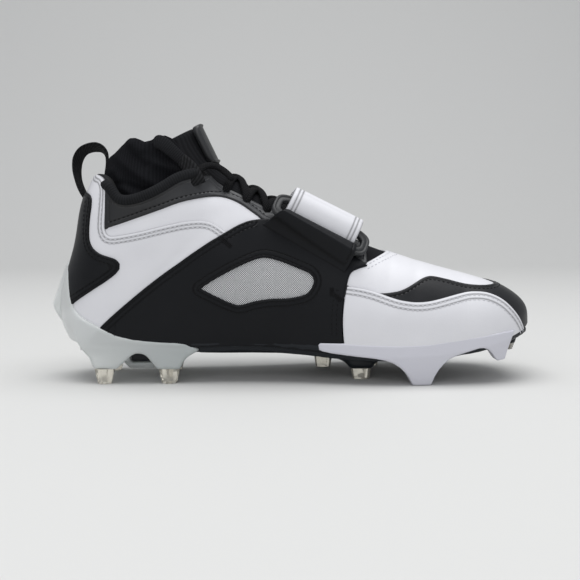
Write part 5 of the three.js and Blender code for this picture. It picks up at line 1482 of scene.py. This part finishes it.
# Stud tips. Faceted clear ends with a warm tint, 9 mm high, a little wider at the top, on every stud
# but those of the rail.
TIP = Finish("stud_clear", Base_Color=(0.93, 0.89, 0.79, 1), Roughness=0.09, Transmission_Weight=0.75,
             IOR=1.5)
TIP.bump((TIP.noise(420, 1), 0.2, 0.0003))
HEEL_STUDS = [
    ("heel_rear_medial", 27.4, -24.1, 0.0, 9.2, 8.4, 12.2),
    ("heel_rear_lateral", 27.4, 24.1, 0.0, 9.2, 8.4, 12.2),
    ("heel_front_medial", 66.6, -24.1, 0.0, 9.2, 9.4, 13.2),
    ("heel_front_lateral", 66.6, 24.8, 0.0, 9.2, 9.4, 13.2),
]
tip_turn = np.radians([22, 68, 112, 158, 202, 248, 292, 338])
tip_outline = np.stack([np.cos(tip_turn), np.sin(tip_turn)], 1) / 1.85
for word, x, y, floor, neck, small, wide in HEEL_STUDS + FORE_STUDS:
    levels = [(floor, small * 0.92, 8.0), (floor + 0.8, small, 8.8), (neck + 0.4, wide, 10.4)]
    points, faces = stud_loft(x, y, tip_outline, levels)
    tip = mesh_object(f"tip_{word}", to_frame(points), faces, smooth=False)
    outwards(tip)
    dress(tip, TIP, "clear_tip", f"stud_tip_{word}")

# Strap ring. A moulded dark grey loop, 64 by 21 mm with rounded ends, that stands on the medial side
# of the instep. Its bar is 5 mm wide and 3.5 mm thick, with a fine groove along its face.
STRAP_SLOPE, RING_TILT = math.radians(26.5), math.radians(50)
RING_AT = np.array([160.0, -30.0, 95.5])
ACROSS = np.array([math.sin(STRAP_SLOPE), 0, math.cos(STRAP_SLOPE)])
RING_OUT = ACROSS * math.cos(RING_TILT) + (0, -math.sin(RING_TILT), 0)
RING_DOWN = -ACROSS * math.sin(RING_TILT) + (0, -math.cos(RING_TILT), 0)
RING_ALONG = np.array([math.cos(STRAP_SLOPE), 0, -math.sin(STRAP_SLOPE)])


def on_ring(s, t, n):
    """s runs down towards the toe, t down the medial side and n out of the ring's face."""
    s, t, n = (np.asarray(v, float)[..., None] for v in np.broadcast_arrays(s, t, n))
    return RING_AT + RING_ALONG * s + RING_DOWN * t + RING_OUT * n


RING_RUBBER = Finish("ring_rubber", Base_Color=(0.020, 0.021, 0.0225, 1), Roughness=0.5)
RING_RUBBER.bump((RING_RUBBER.noise(700, 2), 0.3, 0.0001))
RING_STEPS, RING_SQUARENESS, RING_HALF_LONG, RING_HALF_HIGH = 160, 0.52, 29.4, 8.0
ring_angle = np.linspace(0, 2 * math.pi, RING_STEPS, endpoint=False)
ring_x = squared(np.cos(ring_angle), RING_SQUARENESS)
ring_y = squared(np.sin(ring_angle), RING_SQUARENESS)
# distance out from the bar's middle line and height over its plane, in mm, round the bar's section
BAR_SECTION = np.array([
    (2.5, -1.2), (2.5, 1.0), (2.2, 1.6), (1.7, 1.8), (0.9, 1.8), (0.65, 1.45), (0.35, 1.45),
    (0.1, 1.8), (-1.7, 1.8), (-2.2, 1.6), (-2.5, 1.1), (-2.5, -1.2), (-2.1, -1.7), (2.1, -1.7),
])
bar_out, bar_height = BAR_SECTION.T[:, :, None]
ring_points = on_ring(-1.4 + ring_x * (RING_HALF_LONG + bar_out), ring_y * (RING_HALF_HIGH + bar_out),
                      bar_height + 0.4)
first_loop = np.arange(RING_STEPS)
last_loop = first_loop + RING_STEPS * (len(BAR_SECTION) - 1)
closing = np.stack([last_loop, np.roll(last_loop, -1), np.roll(first_loop, -1), first_loop], 1)
ring = mesh_object("ring_loop", to_frame(ring_points.reshape(-1, 3)),
                   np.vstack([grid_faces(len(BAR_SECTION), RING_STEPS, wrap=True), closing]))
outwards(ring)
dress(ring, RING_RUBBER, "ring_plastic", "strap_ring")

# Strap. White smooth leather, 47 mm wide and 2.6 mm thick. It comes up from the lateral side, folds
# round the ring's upper bar as a full soft roll, and lies back over itself. Hems run along its edges.
STRAP_REAR, STRAP_FRONT, STRAP_ROWS = -24.9, 21.6, 61
HEMS, HEM_ROWS = (3.1, 5.43), (4, 7, -5, -8)
STRAP_LEATHER = leather("strap_leather", WHITE, 0.42, WHITE_WORN, gloss=0.3, rows=HEMS)
strap_s = np.linspace(STRAP_REAR, STRAP_FRONT, STRAP_ROWS)


def strap_section(s, angles):
    """(y, h) points where the plane square to the strap's length at s meets the last's lateral side:
    u is found by halving so that x * cos(slope) - z * sin(slope) is the plane's own value."""
    target = RING_AT @ RING_ALONG + s[:, None]
    low, high = np.ones((len(s), len(angles))), np.full((len(s), len(angles)), 2.0)
    angle = np.broadcast_to(angles, low.shape)
    for _ in range(26):
        middle = (low + high) / 2
        short = last_point(1, middle, angle) @ RING_ALONG < target
        low, high = np.where(short, middle, low), np.where(short, high, middle)
    at = last_point(1, high, angle)
    return np.stack([at[..., 1], at @ ACROSS], -1)


lateral = strap_section(strap_s, np.array([78.0, 66, 54, 43, 33, 24, 17]))
ridge_h = strap_section(strap_s, np.array([89.9]))[:, 0]
down_y, down_h = RING_DOWN[1], RING_DOWN @ ACROSS
out_y, out_h = RING_OUT[1], RING_OUT @ ACROSS
centre_h = RING_AT @ ACROSS
# t and n on the ring's plane of the fold round its upper bar, in mm
RING_FOLD = [
    (-13.5, 5.0), (-9.8, 6.2), (-6.0, 5.9), (-2.4, 4.0), (0.8, 1.2), (2.2, -1.2), (1.0, -3.1),
    (-3.0, -3.6), (-9.0, -3.1),
]
OUTER_PLY, INNER_PLY = 7.8, 3.9
strap_rows = []
for k in range(STRAP_ROWS):
    ridge_y, top = ridge_h[k]
    flat = lateral[k]
    normal = np.gradient(flat, axis=0)
    normal = np.stack([-normal[:, 1], normal[:, 0]], 1)
    normal /= np.linalg.norm(normal, axis=1, keepdims=True)
    ring_side = [(RING_AT[1] + down_y * t + out_y * n, centre_h + down_h * t + out_h * n)
                 for t, n in RING_FOLD]
    outer = (flat + normal * OUTER_PLY)[3::-1]
    inner = (flat + normal * INNER_PLY)[:6]
    drop = 0.4 + 2.8 * k / (STRAP_ROWS - 1)
    crest = [(ridge_y + 1.5, top + 11.7 - drop), (ridge_y - 8.5, top + 11.2 - drop)]
    under = [(ridge_y - 8.0, top + 6.0), (ridge_y + 1.5, top + 6.6)]
    strap_rows.append(smooth_line(np.vstack([outer, crest, ring_side, under, inner]), 6))
strap_path = np.array(strap_rows)
strap_step = np.gradient(strap_path, axis=1)
strap_step /= np.linalg.norm(strap_step, axis=2, keepdims=True)
strap_out = np.stack([strap_step[..., 1], -strap_step[..., 0]], -1)
strap_edge = np.minimum(strap_s - STRAP_REAR, STRAP_FRONT - strap_s)
soften = np.sqrt(np.clip(1 - np.clip(1 - strap_edge / 1.3, 0, 1) ** 2, 0, 1))
hem_dip = sum(-0.25 * np.exp(-((strap_edge - hem) / 0.5) ** 2) for hem in HEMS)
fill = 0.5 * np.sin(np.clip((strap_edge - 5.6) / 17, 0, 1) * math.pi / 2)


def strap_layer(sign, thick):
    """The strap's grid moved to one side by a thickness, which may differ from row to row."""
    flat = strap_path + strap_out * (sign * thick)[:, None, None]
    base = RING_ALONG * (RING_AT @ RING_ALONG + strap_s)[:, None, None]
    return to_frame(base + flat[..., :1] * np.array([0, 1, 0]) + flat[..., 1:] * ACROSS)


strap = closed_strip(
    "strap_band", strap_layer(-1, 0.05 + 1.25 * soften + (hem_dip + fill) * (strap_edge > 1)),
    strap_layer(1, 0.05 + 1.25 * soften), strap_edge[:, None] * MM, 0 * strap_s[:, None])


def measure_edge(piece):
    """Copies the distance over, kept in metres, to edge in mm, which the leathers read."""
    over = np.zeros(len(piece.data.vertices))
    piece.data.attributes["over"].data.foreach_get("value", over)
    point_values(piece, "edge", over / MM)


measure_edge(strap)
dress(strap, STRAP_LEATHER, "white_leather", "strap")
hem_rows = []
hem_grid = strap_layer(-1, 1.25 + 0 * strap_s)
for k in HEM_ROWS:
    line, beside = hem_grid[k][:72], hem_grid[k - 1 if k > 0 else k + 1][:72]
    run = distances_along(line)
    centre = np.arange(STITCH_PITCH, run[-1] / MM - 2, STITCH_PITCH) * MM
    middle, ahead, other = (
        np.stack([np.interp(at, run, points[:, axis]) for axis in range(3)], 1)
        for at, points in ((centre, line), (centre + 0.5 * MM, line), (centre, beside)))
    out = np.cross(ahead - middle, other - middle)
    out = out / np.linalg.norm(out, axis=1, keepdims=True)
    hem_rows.append(spindles(middle, ahead - middle, out))
stitching("strap_stitching", hem_rows, WHITE_THREAD, "white_leather")

# Strap tab. A padded piece of black leather that wraps over the ring's lower bar and is sewn down on
# the midfoot panel. It is 51 mm long at the bar and 58 mm at its lower edge, which a seam pulls in.
TAB = leather("tab_leather", BLACK, 0.42, BLACK_WORN, gloss=0.14, rows=(2.6,))
# share of the height from the ring's bar to the seam, and the roll's height over the ring's plane
TAB_ROLL = np.array([
    (0, -0.5), (0.05, 2.8), (0.14, 4.9), (0.3, 6.2), (0.45, 6.7), (0.62, 6.6), (0.8, 4.4), (1, 0.6),
])


TAB_SEAT = 3.4
TAB_REAR, TAB_REAR_SPREAD, TAB_LONG, TAB_SPREAD = -27.5, -6.5, 50.5, 7.5
TAB_TOP = 2.2
# The seam lies this far under the ring's middle at its rear end, and drops a little to the toe.
SEAM_REAR, SEAM_DEPTH, SEAM_SLOPE = -33.9, 14.9, 0.064


def on_side(s, t):
    """n of the point over (s, t) that lies TAB_SEAT off the last, by repeated steps along n."""
    n = np.full(s.shape, -2.0)
    for _ in range(8):
        at = on_ring(s, t, n)
        u, a = lift(-1, at[:, [0, 2]])
        on_last = skin_points(np.stack([np.full(len(u), -1.0), u, a], 1), TAB_SEAT) / MM - LAST_AT
        out = last_normal(-1.0, u, a)
        step = ((on_last - at) * out).sum(1) / np.maximum(out @ RING_OUT, 0.25)
        n = n + np.clip(step, -4, 4)
    return n


seam_s, trial_t = np.meshgrid(np.linspace(-36, 26, 24), np.linspace(3, 30, 19))
trial_n = on_side(seam_s.ravel(), trial_t.ravel()).reshape(seam_s.shape)
trial_h = down_h * trial_t + out_h * trial_n
seam_t = np.array([np.interp(SEAM_DEPTH + (s - SEAM_REAR) * SEAM_SLOPE, -h, t)
                   for s, h, t in zip(seam_s[0], trial_h.T, trial_t.T)])
share = np.linspace(0, 1, 37)[:, None]
grid_s = (TAB_REAR + TAB_REAR_SPREAD * share
          + (TAB_LONG + TAB_SPREAD * share) * np.linspace(0, 1, 71)[None])
grid_t = TAB_TOP + (np.interp(grid_s, seam_s[0], seam_t) - TAB_TOP) * share
seat = on_side(grid_s.ravel(), grid_t.ravel()).reshape(grid_s.shape)
lower = np.clip((share - 0.5) / 0.5, 0, 1)
lower = lower * lower * (3 - 2 * lower)
profile = smooth_line(TAB_ROLL, 6)
profile = np.interp(share, profile[:, 0], profile[:, 1])
tab_n = np.maximum(profile * (1 - lower) + seat * lower, seat)
from_rear = grid_s - grid_s[:, :1]
tab_n = seat + (tab_n - seat) * np.sin(np.clip(from_rear / 5, 0, 1) * math.pi / 2)
tab_edge = np.minimum(np.minimum(from_rear, grid_s[:, -1:] - grid_s), grid_t[-1:] - grid_t)
tab_soft = np.sqrt(np.clip(1 - np.clip(1 - tab_edge / 1.4, 0, 1) ** 2, 0, 1))
tab_top = on_ring(grid_s, grid_t, tab_n - 1.2 * (1 - tab_soft))
tab_under = on_ring(grid_s, grid_t, np.minimum(tab_n - 2.2, np.maximum(seat - 2.4, tab_n - 5)))
tab = closed_strip("tab_pad", to_frame(tab_top), to_frame(tab_under), tab_edge * MM, grid_t * MM)
measure_edge(tab)
dress(tab, TAB, "black_leather", "strap_tab")

# Insole. A black foam board on the floor of the shoe. It keeps the CAD model's own shape.
FOAM = Finish("insole_foam", Base_Color=(0.02, 0.02, 0.022, 1), Roughness=0.9)
FOAM.bump((FOAM.noise(900, 2), 0.3, 0.0002))
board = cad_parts["insole"]
board.data.materials.clear()
board.data.materials.append(FOAM.material)
